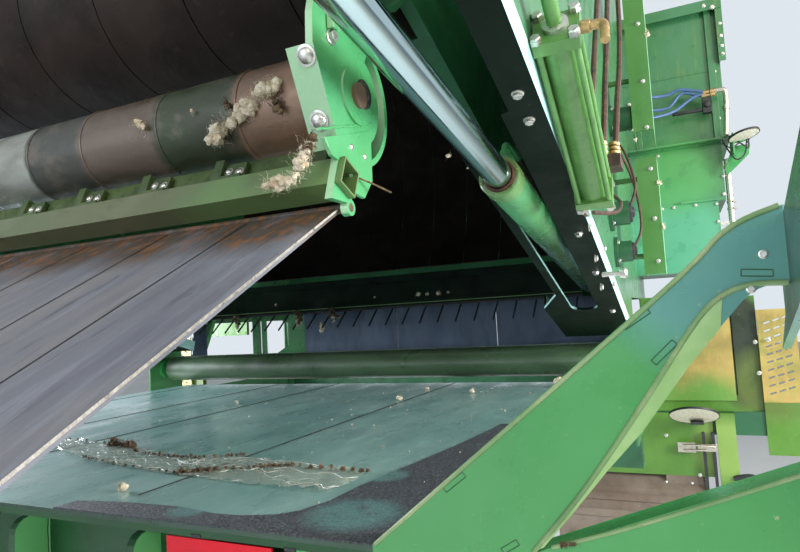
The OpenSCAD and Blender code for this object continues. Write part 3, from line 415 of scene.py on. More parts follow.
# Lower panels: yellow-green painted sunlight where the sun comes through, olive outside, and a painted shadow
# strip down the recess beside the post
SKIRT_COAT = Finish(
    "powder_coated_panel_sunlit", "#43701e", (Layer("#55822a", 240, 0.42, 0.62, 0.6),
    Layer("#34611a", 120, 0.54, 0.74, 0.5),
    Layer("#86a04e", 200, 0.1, 0.4, 0.7, spots=both_sides((1.82, 0.3, -0.05, 0.2))),
    # painted shadow: a near-black strip down the recess beside the post
    Layer("#141c10", 90, 0.0, 0.2, 0.95,
          spots=both_sides(*((1.94, 0.33, z, 0.13) for z in (0.28, 0.38, 0.48, 0.58, 0.68)))),
    Layer("#55652a", 200, 0.1, 0.4, 0.85, spots=both_sides((2.06, 0.32, 0.3, 0.24))),
    Layer("#c4b56c", 12, 0.64, 0.72, 0.6, grain=0.75), flecks("#1c2a10", 6, 0.68, 0.74, 0.6)), (0.28, 0.5),
    ((180, 0.8), (7, 0.08)), coat=0.1)
# Low-lying enamel painted golden: partly road dust, partly a painted reflection of the sunlit tan ground,
# with green paint left near its foot
DUST_AND_SUN_ENAMEL = Finish(
    "enamelled_steel_with_dust_and_painted_sun", "#857538", (Layer("#ab9550", 300, 0.35, 0.6, 0.85, (1, 1, 2)),
    Layer("#6b7a2c", 140, 0.5, 0.7, 0.45), Layer("#b98d4c", 60, 0.5, 0.7, 0.5, (3, 1, 1)),
    flecks("#cdbf88", 10, 0.62, 0.72, 0.5, (4, 1, 1)),
    Layer("#4f8a34", 40, 0.1, 0.4, 0.85, spots=both_sides((1.5, 0.3, 0.1, 0.3), (1.75, 0.3, 0.12, 0.28)))),
    (0.35, 0.6), ((200, 0.8), (9, 0.08)), coat=0.1)
# Deck paint: worn thin and polished by bales that slide off it, along the machine's length
DECK_COAT = Finish(
    "painted_steel_scuffed_by_bales", "#749c97", (Layer("#98b8b2", 330, 0.4, 0.6, 0.8, (1, 0.5, 1)),
    Layer("#5b8784", 210, 0.5, 0.72, 0.7, (1.4, 0.5, 1)),
    Layer("#96c9ba", 120, 0.56, 0.72, 0.5, (2.2, 0.6, 1), grain=0.65),
    Layer("#b4d0cb", 42, 0.57, 0.72, 0.5, (3.2, 0.5, 1), grain=0.75),
    Layer("#3d6464", 26, 0.62, 0.7, 0.55, (2.4, 0.45, 1), grain=0.75),
    Layer("#dbe4e0", 8, 0.68, 0.74, 0.5, (2, 0.4, 1), grain=0.75),
    Layer("#1b3a22", 200, 0.0, 0.1, 0.95, faces=1)), (0.2, 0.42), ((260, 1.2), (16, 0.05, (2, 0.5, 1))),
    gloss_mm=150, gloss_stretch=(1.5, 0.6, 1), coat=0.1)
# Anti-slip coat: mineral grit in black resin, sharp grains a millimetre or two across, drawn a little coarser
GRIT_COAT = Finish(
    "grit_in_black_resin", "#2d3236",
    (Layer("#4c7d78", 60, 0.3, 0.46, 0.75, grain=0.8, spots=both_sides(
        (1.1, -2.55, 0.42, 0.1), (1.04, -2.3, 0.42, 0.06), (0.78, -2.61, 0.42, 0.05))),
    Layer("#33605a", 95, 0.6, 0.72, 0.5, grain=0.8), Layer("#6b747a", 5, 0.52, 0.62, 0.8, grain=0.8),
    Layer("#b8c2c4", 3.4, 0.68, 0.73, 0.9, grain=0.8), Layer("#070808", 6, 0.56, 0.66, 0.9, grain=0.8)),
    (0.5, 0.85), ((5, 1.6), (14, 1.0)), gloss_mm=6)
# Scraper bar's coat: olive, with crop stain that thins towards the ends
OLIVE_COAT = Finish(
    "powder_coated_bar_olive", "#5c6145", (Layer("#4c6038", 300, 0.4, 0.6, 0.6, (0.6, 1, 1)),
    Layer("#777758", 120, 0.5, 0.7, 0.5, (0.5, 1, 1)), Layer("#2f3624", 40, 0.56, 0.72, 0.5, (0.5, 1, 1)),
    Layer("#5f8049", 90, 0.2, 0.5, 0.8, spots=both_sides((1.15, -2.73, 0.97, 0.28))),
    flecks("#a8a383", 8, 0.66, 0.73)), (0.3, 0.5), ((90, 0.4), (7, 0.08)), coat=0.1)
# Cylinder paint: fine wet-sprayed enamel, glossier than the sheets, with painted shade darkening the barrel
# towards its base pin
BARREL_COAT = Finish(
    "sprayed_enamel_on_tube", "#4f9a5c", (Layer("#63b184", 160, 0.42, 0.62, 0.6, (1, 0.5, 1)),
    Layer("#3f6f35", 70, 0.54, 0.72, 0.5, (1, 0.5, 1)), flecks("#8a7a4c", 14, 0.62, 0.74),
    Layer("#6f7a3a", 40, 0.1, 0.4, 0.75, spots=both_sides((1.306, -2.17, 1.07, 0.075))),
    # painted shade: the barrel darkens towards its base pin, under the strut
    Layer("#0a2416", 300, 0.0, 0.1, 0.92, spots=both_sides((1.306, -1.15, 0.93, 0.85)))), (0.2, 0.4),
    ((40, 0.15), (6, 0.05)), coat=0.25)
# Tie-rod cylinders: the same enamel, yellowed in the sun
TIE_ROD_COAT = Finish(
    "sprayed_enamel_sunned", "#548440", (Layer("#6b9a54", 60, 0.45, 0.65, 0.6),
    Layer("#365c28", 40, 0.54, 0.72, 0.5), flecks("#a39a68", 8, 0.64, 0.73)), (0.25, 0.45),
    ((40, 0.15), (6, 0.05)), coat=0.15)
# Starter roller's enamel: olive, burnished by crop
ROLLER_ENAMEL = Finish(
    "enamelled_tube_burnished", "#384c33", (Layer("#4f6b4b", 300, 0.42, 0.62, 0.6, (0.4, 1, 1)),
    Layer("#243826", 70, 0.52, 0.72, 0.6, (0.3, 1, 1)),
    flecks("#8d9a7c", 16, 0.62, 0.74, 0.4, (0.5, 1, 1))), (0.25, 0.5), ((80, 0.4), (8, 0.06)), coat=0.2)
# Zinc plate on fasteners and shafts: a bright bluish grey with fine dull bloom
ZINC_PLATE = Finish(
    "zinc_plated_steel", "#c9c8c0", (Layer("#8f8c80", 9, 0.5, 0.7, 0.6),
    flecks("#7a5a3a", 5, 0.66, 0.74, 0.6)), (0.22, 0.45), ((4, 0.05),), gloss_mm=10, metallic=0.9)
# Hard chrome on ground rods: a mirror with fine lengthwise marks and a film of dust
CHROME_PLATE = Finish(
    "hard_chrome_on_ground_rod", "#b3c8cb", (Layer("#7d9391", 120, 0.5, 0.7, 0.5, (1, 0.3, 1)),
    flecks("#b9a98a", 7, 0.68, 0.74, 0.6, (1, 0.5, 1))), (0.07, 0.22), ((60, 0.05, (1, 0.3, 1)),),
    gloss_mm=70, gloss_stretch=(3, 0.4, 3), metallic=1.0)
# Rusted steel where paint has gone: brown scale with orange bloom
RUSTED_STEEL = Finish(
    "rusted_steel", "#4c3226", (flecks("#7a4a2a", 22, 0.48, 0.68, 0.7),
    flecks("#2a1d18", 10, 0.55, 0.7, 0.6), Layer("#a8683a", 5, 0.64, 0.72, 0.6, grain=0.75)), (0.5, 0.85),
    ((7, 0.25),), gloss_mm=20, metallic=0.3)
# Tail roller: mill-finish tube, paint left in bands, rust between them and polish where bales rub
TAIL_TUBE = BandedRoller(
    "rolled_steel_tube_with_worn_paint", "#54463c", (Layer("#2f2620", 130, 0.48, 0.68, 0.6, (0.5, 1, 1)),
    Layer("#7d7063", 60, 0.52, 0.72, 0.45, grain=0.65), Layer("#9a8a78", 9, 0.64, 0.72, 0.5, grain=0.8),
    Layer("#1a1512", 7, 0.64, 0.7, 0.7, (2, 1, 1), grain=0.8)), (0.25, 0.55), ((40, 0.3), (6, 0.12)),
    gloss_mm=60, gloss_stretch=(0.6, 1, 1), metallic=0.35, bands=((-1.2, "#54463c"), (-1.03, "#35452f"),
    (-0.85, "#5d4a3e"), (-0.62, "#4a4c44"), (-0.3, "#6d675f"), (-0.05, "#3c4a36"), (0.12, "#6a6058"),
    (0.36, "#a3a8a0"), (0.531, "#474a45"), (0.679, "#62564c"), (0.865, "#36402d"), (1.036, "#7a604d")))
# Vulcanised lagging: brown-black rubber rubbed by cotton, with leaf stain
DRUM_LAGGING = Finish(
    "vulcanised_rubber_lagging", "#1f1815", (Layer("#2f2621", 260, 0.42, 0.64, 0.7),
    Layer("#120e0c", 110, 0.52, 0.72, 0.7), flecks("#45392f", 26, 0.6, 0.74, 0.4),
    Layer("#0a0807", 15, 0.66, 0.72, 0.6)), (0.6, 0.8), ((110, 1.6), (14, 0.25)), specular=0.15,
    gloss_mm=120)
# Belt fabric with a rubber cover: matt and brown-black
BELT_COVER = Finish(
    "rubber_covered_belt", "#1c1715", (Layer("#2e2723", 200, 0.42, 0.66, 0.7),
    flecks("#443a32", 24, 0.6, 0.76, 0.4)), (0.65, 0.9), ((60, 0.5), (9, 0.2)), specular=0.12)
# Apron: ply rubber scoured grey-brown in long streaks as bales drag under it, dark brown along its top edge
# from crop stain and a painted shadow of the scraper bar
APRON_RUBBER = Finish(
    "scoured_ply_rubber", "#71747e", (Layer("#858384", 240, 0.4, 0.6, 0.7, (1.6, 0.35, 0.35)),
    Layer("#5d606c", 170, 0.5, 0.68, 0.7, (1.8, 0.4, 0.4)),
    Layer("#888d98", 90, 0.52, 0.68, 0.6, (3.0, 0.35, 0.35), grain=0.65),
    flecks("#454650", 60, 0.58, 0.7, 0.6, (3.2, 0.4, 0.4)),
    Layer("#b6b4b5", 9, 0.66, 0.73, 0.45, (2, 0.5, 0.5), grain=0.75),
    # dark brown along the top edge: partly crop stain, partly a painted shadow of the scraper bar
    Layer("#3f3220", 90, 0.3, 0.5, 0.85, (1.5, 0.8, 0.8), spots=across_apron(-2.7, 0.19)),
    Layer("#8a5626", 34, 0.5, 0.62, 0.65, (2, 1, 1), grain=0.7, spots=across_apron(-2.72, 0.17))),
    (0.5, 0.75), ((130, 1.2, (1.5, 0.5, 0.5)), (14, 0.2, (2.5, 0.5, 0.5))), specular=0.3, gloss_mm=80,
    gloss_stretch=(2, 0.4, 0.4))
# Cut edge of the ply rubber: pale textile threads
PLY_EDGE = Finish(
    "cut_edge_of_textile_ply", "#9a948c", (Layer("#c9c4ba", 6, 0.45, 0.65, 0.8, grain=0.8),
    Layer("#4d4845", 9, 0.55, 0.68)), (0.8, 0.95), ((4, 0.8),))
# Hanging curtain: calendered rubber sheet with a blue-grey bloom
CURTAIN_SHEET = Finish(
    "calendered_rubber_sheet", "#44546a", (Layer("#55677f", 180, 0.42, 0.64, 0.7, (1, 1, 0.4)),
    Layer("#2f3b4f", 90, 0.5, 0.72, 0.6, (1.6, 1, 0.4)),
    flecks("#77839a", 22, 0.62, 0.76, 0.4, (1.4, 1, 0.4))), (0.4, 0.65), ((120, 1.4), (10, 0.1)))
# Moulded polypropylene: matt brown-black with dried mud splash
MUD_SPLASHED_MOULDING = Finish(
    "moulded_polypropylene_with_mud", "#65574a", (Layer("#766a5c", 160, 0.42, 0.62, 0.75),
    Layer("#4c443c", 70, 0.56, 0.74, 0.6), Layer("#9a8c7b", 14, 0.6, 0.72, 0.5, grain=0.75)), (0.45, 0.7),
    ((90, 1.0), (8, 0.12)))
# Extruded black rubber and moulded nylon: seals, hoses' clamps and tines
BLACK_MOULDING = Finish(
    "moulded_black_nylon", "#17181a", (Layer("#34322e", 40, 0.5, 0.7, 0.6),
    Layer("#6b6558", 8, 0.64, 0.74, 0.5)), (0.4, 0.65), ((9, 0.08),))
# Hose cover: weathered rubber over wire braid, brown with dust
HOSE_COVER = Finish(
    "weathered_hose_rubber", "#4a3226", (Layer("#1f1a18", 40, 0.48, 0.66, 0.7),
    Layer("#8a6a4e", 12, 0.56, 0.7, 0.6, grain=0.75)), (0.5, 0.75), ((6, 0.4),), gloss_mm=30)
# Thermoplastic air hose: smooth blue-grey
BLUE_HOSE = Finish(
    "extruded_blue_polyurethane", "#47628c", (Layer("#2c3f5e", 40, 0.5, 0.7, 0.6),
    Layer("#9aa6b0", 10, 0.62, 0.74, 0.5)), (0.3, 0.5), ((12, 0.1),))
# Brass and corroded plated fittings on the hoses
BRASS_FITTING = Finish(
    "machined_brass_tarnished", "#b59a6a", (Layer("#7a5634", 9, 0.5, 0.7, 0.7),
    Layer("#d8cfae", 5, 0.62, 0.72, 0.6)), (0.35, 0.6), ((5, 0.15),), gloss_mm=12, metallic=0.8)
# Reflector: moulded acrylic with a prismatic back that returns a flat, saturated red
REFLECTOR = Finish(
    "moulded_red_acrylic", "#d20c22", (Layer("#a80c1b", 120, 0.5, 0.7, 0.4),
    Layer("#e23a42", 12, 0.66, 0.76, 0.3)), (0.4, 0.55), ((7, 0.15),), specular=0.25)
# Lamp: moulded polycarbonate lens under dust
LAMP_LENS = Finish(
    "polycarbonate_lens_with_dust", "#cfc9b4", (Layer("#9c9479", 18, 0.48, 0.66, 0.7, (4, 1, 1)),
    Layer("#efe9d6", 9, 0.58, 0.7, 0.6, (5, 1, 1))), (0.3, 0.55), ((8, 0.4, (6, 1, 1)),), gloss_mm=20)
# Cotton lint: off-white fibre, dull and soft, with yellow stain
COTTON_LINT = Finish(
    "raw_cotton_lint", "#d9cbb0", (Layer("#b99a70", 22, 0.5, 0.68, 0.6),
    Layer("#efe6d2", 9, 0.48, 0.62, 0.6), Layer("#8a6a48", 7, 0.66, 0.74, 0.5, grain=0.8)), (0.9, 1.0),
    ((5, 1.2), (2.5, 0.6)))
# Leaf and stalk trash matted with lint: brown, dry and ragged
LEAF_TRASH = Finish(
    "dry_leaf_and_stalk", "#54442f", (Layer("#7d674d", 9, 0.48, 0.64, 0.8),
    Layer("#32261b", 6, 0.54, 0.66, 0.8), Layer("#b3a88e", 5, 0.66, 0.73, 0.6)), (0.85, 1.0), ((4, 1.2),))
# Torn stretch film: thin polyethylene with dust in its creases
STRETCH_FILM = Finish(
    "blown_polyethylene_film", "#cdd3c4", (Layer("#9fb0a4", 60, 0.42, 0.62, 0.6),
    Layer("#d9cf9c", 14, 0.6, 0.72, 0.7)), (0.12, 0.35), ((12, 1.0),), gloss_mm=12, see_through=0.64)
# The same film bunched into a crease
FILM_CREASE = Finish(
    "bunched_polyethylene_film", "#dfe3dc", (Layer("#b8b58c", 20, 0.5, 0.66, 0.7),
    Layer("#f4f6f2", 9, 0.5, 0.66, 0.7)), (0.2, 0.45), ((6, 0.6),), gloss_mm=10, see_through=0.3)
# Cast hub disc: grey iron, oiled and dusty
DULL_STEEL = Finish(
    "machined_grey_iron", "#3c3c3a", (Layer("#6a6862", 8, 0.5, 0.7, 0.6),
    Layer("#1c1a18", 12, 0.5, 0.7, 0.6)), (0.35, 0.6), ((4, 0.08),), gloss_mm=12, metallic=0.6)
# Folded edge with a painted highlight over the green coat: khaki where it stands for the reflection of the
# tan ground
EDGE_HIGHLIGHT_COAT = Finish(
    "powder_coated_edge_painted_highlight", "#6f8f5c", (Layer("#a9b388", 60, 0.45, 0.65, 0.7),
    Layer("#2f6b38", 120, 0.5, 0.68, 0.7), flecks("#5d4a30", 10, 0.62, 0.72, 0.6)), (0.25, 0.45),
    ((8, 0.1),))
# Folded flange that faces the sun: a pale painted highlight, dusty green
PALE_EDGE = Finish(
    "powder_coated_flange_painted_highlight", "#86ab6a", (Layer("#a8c48c", 90, 0.42, 0.62, 0.6),
    Layer("#6f8a52", 60, 0.54, 0.72, 0.5), flecks("#c9c39a", 8, 0.64, 0.72)), (0.28, 0.48), ((8, 0.1),))
# Stainless latch: satin, fine brushed
SATIN_STAINLESS = Finish(
    "brushed_stainless_steel", "#b9b3a6", (Layer("#8a7a62", 8, 0.56, 0.7, 0.6),), (0.25, 0.4),
    ((3, 0.04, (1, 6, 1)),), gloss_mm=12, metallic=0.9)
# Studio floor: matt painted board
STUDIO_FLOOR = Finish(
    "matt_painted_board", "#d9dcdb", (Layer("#e2e4e3", 2500, 0.4, 0.6),), (0.8, 0.9))

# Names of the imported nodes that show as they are, by finish
NODE_FINISHES = (
    (SHADE_DARKENED_COAT, "base_frame top_tubes front_sheets gate_frame_right gate_frame_left"),
    (SHADE_DARKENED_COAT, "deck_barrels wall_bearings"),
    (SHEET_COAT, "side_wall_right side_wall_left side_boxes_right side_boxes_left"),
    (SHADE_AND_SKY_LIGHT_COAT, "side_strut_right side_strut_left"),
    (STAIN_AND_SHADE_COAT, "front_rollers comb_beam gate_rollers"),
    (GREEN_COAT, "window_frame starter_bearings"),
    (BRACKET_COAT, "tail_bracket_right tail_bracket_left"),
    (BARREL_COAT, "gate_barrel_right gate_barrel_left"),
    (CHROME_PLATE, "gate_rod_right gate_rod_left deck_rods"),
    (ARM_COAT, "outrigger_right outrigger_left"),
    (BELT_COVER, "front_belts gate_belts"),
    (BLACK_MOULDING, "comb_tines"), (CURTAIN_SHEET, "curtain"), (ROLLER_ENAMEL, "starter_roller"),
    (DRUM_LAGGING, "drum"), (TAIL_TUBE, "tail_roller"), (OLIVE_COAT, "scraper_bar"),
    (CLIP_COAT, "scraper_clips"), (APRON_RUBBER, "apron"), (DECK_COAT, "deck_plate"),
    (GRIT_COAT, "deck_grip"), (BEAM_COAT, "rear_beam"), (REFLECTOR, "reflectors"), (SUNLIT_GUARD_COAT, "guards"),
    (TIE_ROD_COAT, "tension_cylinders"), (HOSE_COVER, "hoses"), (LAMP_LENS, "work_lamps"),
    (ZINC_PLATE, "drain_pipes"), (SKIRT_COAT, "side_skirts"), (DUST_AND_SUN_ENAMEL, "side_panels"),
    (MUD_SPLASHED_MOULDING, "mudguards"),
)


def ring(middle: Vector, radius: float, side: Vector, other: Vector, count: int) -> list[Vector]:
    """Gives points evenly round a circle that lies along side and other."""
    angles = [FULL_TURN * i / count for i in range(count)]
    return [middle + radius * (math.cos(a) * side + math.sin(a) * other) for a in angles]


class Form:
    """Points and faces of one joined mesh, in metres in the machine's own frame."""

    def __init__(self) -> None:
        """Starts empty."""
        self.points: list = []
        self.faces: list = []

    def add(self, points: Iterable[Place], faces: Iterable[Sequence[int]]) -> None:
        """Adds points and faces.

        Args:
            points: the points.
            faces: the numbers of each face's points, counted from the first of these points.
        """
        first = len(self.points)
        self.points.extend(tuple(p) for p in points)
        self.faces.extend(tuple(first + i for i in face) for face in faces)

    def loft(self, points: Sequence[Place], count: int) -> None:
        """Adds rings of points, joined by faces and closed at both ends.

        Args:
            points: the rings' points, ring after ring.
            count: how many points each ring has.
        """
        last = len(points) - count
        faces = [(first + i, first + (i + 1) % count, first + count + (i + 1) % count, first + count + i)
                 for first in range(0, last, count) for i in range(count)]
        self.add(points, [*faces, tuple(reversed(range(count))), tuple(range(last, last + count))])

    def block(self, low: Place, high: Place) -> None:
        """Adds a block between its lowest and highest corners."""
        corners = [(x, y, z) for z in (low[2], high[2]) for y in (low[1], high[1]) for x in (low[0], high[0])]
        self.add(corners, [(0, 2, 3, 1), (4, 5, 7, 6), (0, 1, 5, 4),
                           (2, 6, 7, 3), (0, 4, 6, 2), (1, 3, 7, 5)])

    def turned(self, base: Place, direction: Place, profile: Iterable[tuple[float, float]],
               count: int = 20) -> None:
        """Adds a turned solid.

        Args:
            base: where the profile's distance is 0.
            direction: the axis.
            profile: pairs of a distance along the axis and a radius.
            count: how many sides it has.
        """
        axis = Vector(direction).normalized()
        side = axis.orthogonal().normalized()
        other = axis.cross(side)
        self.loft([p for along, radius in profile
                   for p in ring(Vector(base) + axis * along, radius, side, other, count)], count)

    def bolt(self, place: Place, direction: Place, size: float) -> None:
        """Adds a hexagon bolt head with its washer.

        Args:
            place: the middle of the washer's underside.
            direction: the way that the head faces.
            size: the thread's diameter in metres.
        """
        washer = ((0, size * 1.1), (size * 0.2, size * 1.1), (size * 0.25, size * 1.0))
        head = ((size * 0.2, size * 0.86), (size * 0.75, size * 0.86), (size * 0.88, size * 0.7))
        self.turned(place, direction, washer, 18)
        self.turned(place, direction, head, 6)

    def dome(self, place: Place, direction: Place, size: float) -> None:
        """Adds a domed bolt head.

        Args:
            place: the middle of its underside.
            direction: the way that it faces.
            size: its diameter in metres.
        """
        radius = size / 2
        top = [(radius * (0.12 + 0.5 * math.sin(a)), radius * math.cos(a)) for a in (0.5, 0.9, 1.25, 1.5)]
        self.turned(place, direction, [(0, radius), (radius * 0.12, radius), *top], 22)

    def tube(self, route: Iterable[Place], radius: float, count: int = 10, steps: int = 6) -> None:
        """Adds a round tube along a smooth curve.

        Args:
            route: the given points that the curve passes.
            radius: the tube's radius in metres.
            count: how many sides it has.
            steps: how many short lines each stretch of the curve becomes.
        """
        path = smooth_route(route, steps)
        points = []
        side = None
        for i, point in enumerate(path):
            heading = (path[min(i + 1, len(path) - 1)] - path[max(i - 1, 0)]).normalized()
            side = heading.orthogonal() if side is None else side - heading * side.dot(heading)
            side.normalize()
            points += ring(point, radius, side, heading.cross(side), count)
        self.loft(points, count)

    def prism(self, outline: Sequence[Place], across: tuple[float, float], axis: int = 0) -> None:
        """Adds an outline of the two other axes, made solid between two places along one axis."""
        points = [[*p[:axis], place, *p[axis:]] for place in across for p in outline]
        self.loft(points, len(outline))

    def make(self, name: str, finish: Finish, body: Body, slot: str, bevel_mm: float = 0.0,
             smooth_degrees: float = CRISP) -> bpy.types.Object:
        """Turns the form into a piece that rides on a body.

        Args:
            name: the piece's name.
            finish: its finish.
            body: the body that it moves with.
            slot: not used.
            bevel_mm: size of the bevel on sharp edges, 0 for none.
            smooth_degrees: edges sharper than this stay sharp.

        Returns:
            The piece.
        """
        mesh = bpy.data.meshes.new(name)
        mesh.from_pydata(self.points, [], self.faces)
        tidy = bmesh.new()
        tidy.from_mesh(mesh)
        bmesh.ops.recalc_face_normals(tidy, faces=tidy.faces)
        tidy.to_mesh(mesh)
        tidy.free()
        mesh.shade_smooth()
        mesh.set_sharp_from_angle(angle=math.radians(smooth_degrees))
        mesh.materials.append(finish.build())
        piece = bpy.data.objects.new(name, mesh)
        bpy.context.scene.collection.objects.link(piece)
        if bevel_mm:
            edge = piece.modifiers.new("eased_edges", "BEVEL")
            edge.width = bevel_mm * MM
            edge.segments = 2
            edge.limit_method = "ANGLE"
        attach(piece, body.value)
        log.info("made %s with %d faces on %s", name, len(self.faces), body.value)
        return piece

    def pair(self, name: str, finish: Finish, slot: str, bodies: tuple[Body, Body] = (Body.ROOT, Body.ROOT),
             bevel_mm: float = 0.0) -> bpy.types.Object:
        """Makes the form on the right and its mirror image on the left.

        Args:
            name: the pieces' name without the side.
            finish: their finish.
            slot: not used; passed on to make.
            bodies: the bodies that they ride on, right and left.
            bevel_mm: size of the bevel on sharp edges, 0 for none.

        Returns:
            The right piece.
        """
        right = self.make(f"{name}_right", finish, bodies[0], slot, bevel_mm)
        other = Form()
        other.points = [(-x, y, z) for x, y, z in self.points]
        other.faces = [tuple(reversed(face)) for face in self.faces]
        other.make(f"{name}_left", finish, bodies[1], slot, bevel_mm)
        return right


ON_GATE = (Body.GATE, Body.GATE)
ON_DECK = (Body.DECK, Body.DECK)


def smooth_route(route: Iterable[Place], steps: int) -> list[Vector]:
    """Rounds a route of given points.

    Args:
        route: the points, in metres.
        steps: how many short lines each stretch becomes.

    Returns:
        The points of the curve.
    """
    points = [Vector(p) for p in route]
    path = []
    for i in range(len(points) - 1):
        a, b = points[max(i - 1, 0)], points[i]
        c, d = points[i + 1], points[min(i + 2, len(points) - 1)]
        for k in range(steps):
            t = k / steps
            path.append(0.5 * (2 * b + (c - a) * t + (2 * a - 5 * b + 4 * c - d) * t * t
                               + (3 * b - a - 3 * c + d) * t * t * t))
    path.append(points[-1])
    return path


def fluff(form: Form, route: Sequence[Place], size: float, seed: int, lumps: int = 8, strands: int = 90,
          strand_mm: float = 0.35) -> None:
    """Adds a tuft of lint or trash along a route: soft lumps in a haze of curled strands.

    Args:
        form: the form to add to.
        route: the points that the tuft follows, in metres.
        size: the lumps' radius in metres.
        seed: the random seed.
        lumps: how many lumps it has.
        strands: how many strands stand out.
        strand_mm: the strands' width.
    """
    rng = np.random.default_rng(seed)
    path = smooth_route(route, 8) if len(route) > 1 else [Vector(route[0])]
    ball = bmesh.new()
    bmesh.ops.create_icosphere(ball, subdivisions=2, radius=1.0)
    directions = [v.co.copy() for v in ball.verts]
    faces = [tuple(v.index for v in f.verts) for f in ball.faces]
    ball.free()
    for _ in range(lumps):
        middle = Vector(np.array(path[rng.integers(len(path))]) + rng.normal(0, size * 0.3, 3))
        radius = size * rng.uniform(0.3, 0.85)
        drift = Vector(rng.uniform(0, 90, 3))
        squash = Vector(rng.uniform(0.6, 1.2, 3))
        points = [middle + d * squash * radius * (0.85 + 0.5 * noise.noise(d * 1.6 + drift)
                                                  + 0.22 * noise.noise(d * 5 + drift)) for d in directions]
        form.add(points, faces)
    for _ in range(strands):
        point = Vector(np.array(path[rng.integers(len(path))]) + rng.normal(0, size * 0.4, 3))
        heading = Vector(rng.normal(0, 1, 3)).normalized()
        stride = size * rng.uniform(0.12, 0.3)
        ribbon = []
        for _ in range(7):
            across = heading.orthogonal().normalized() * strand_mm * MM / 2
            ribbon += [point - across, point + across]
            heading = (heading + Vector(rng.normal(0, 0.6, 3))).normalized()
            point = point + heading * stride
        form.add(ribbon, [(k, k + 1, k + 3, k + 2) for k in range(0, 12, 2)])


def tufts(rows: Iterable[Sequence]) -> Form:
    """Makes a form of tufts.

    Args:
        rows: fluff's values after the form, a row for each tuft.

    Returns:
        The form.
    """
    form = Form()
    for row in rows:
        fluff(form, *row)
    return form


def middle_of(node: str) -> Vector:
    """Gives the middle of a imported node's box."""
    low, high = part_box(node)
    return (Vector(low) + Vector(high)) / 2


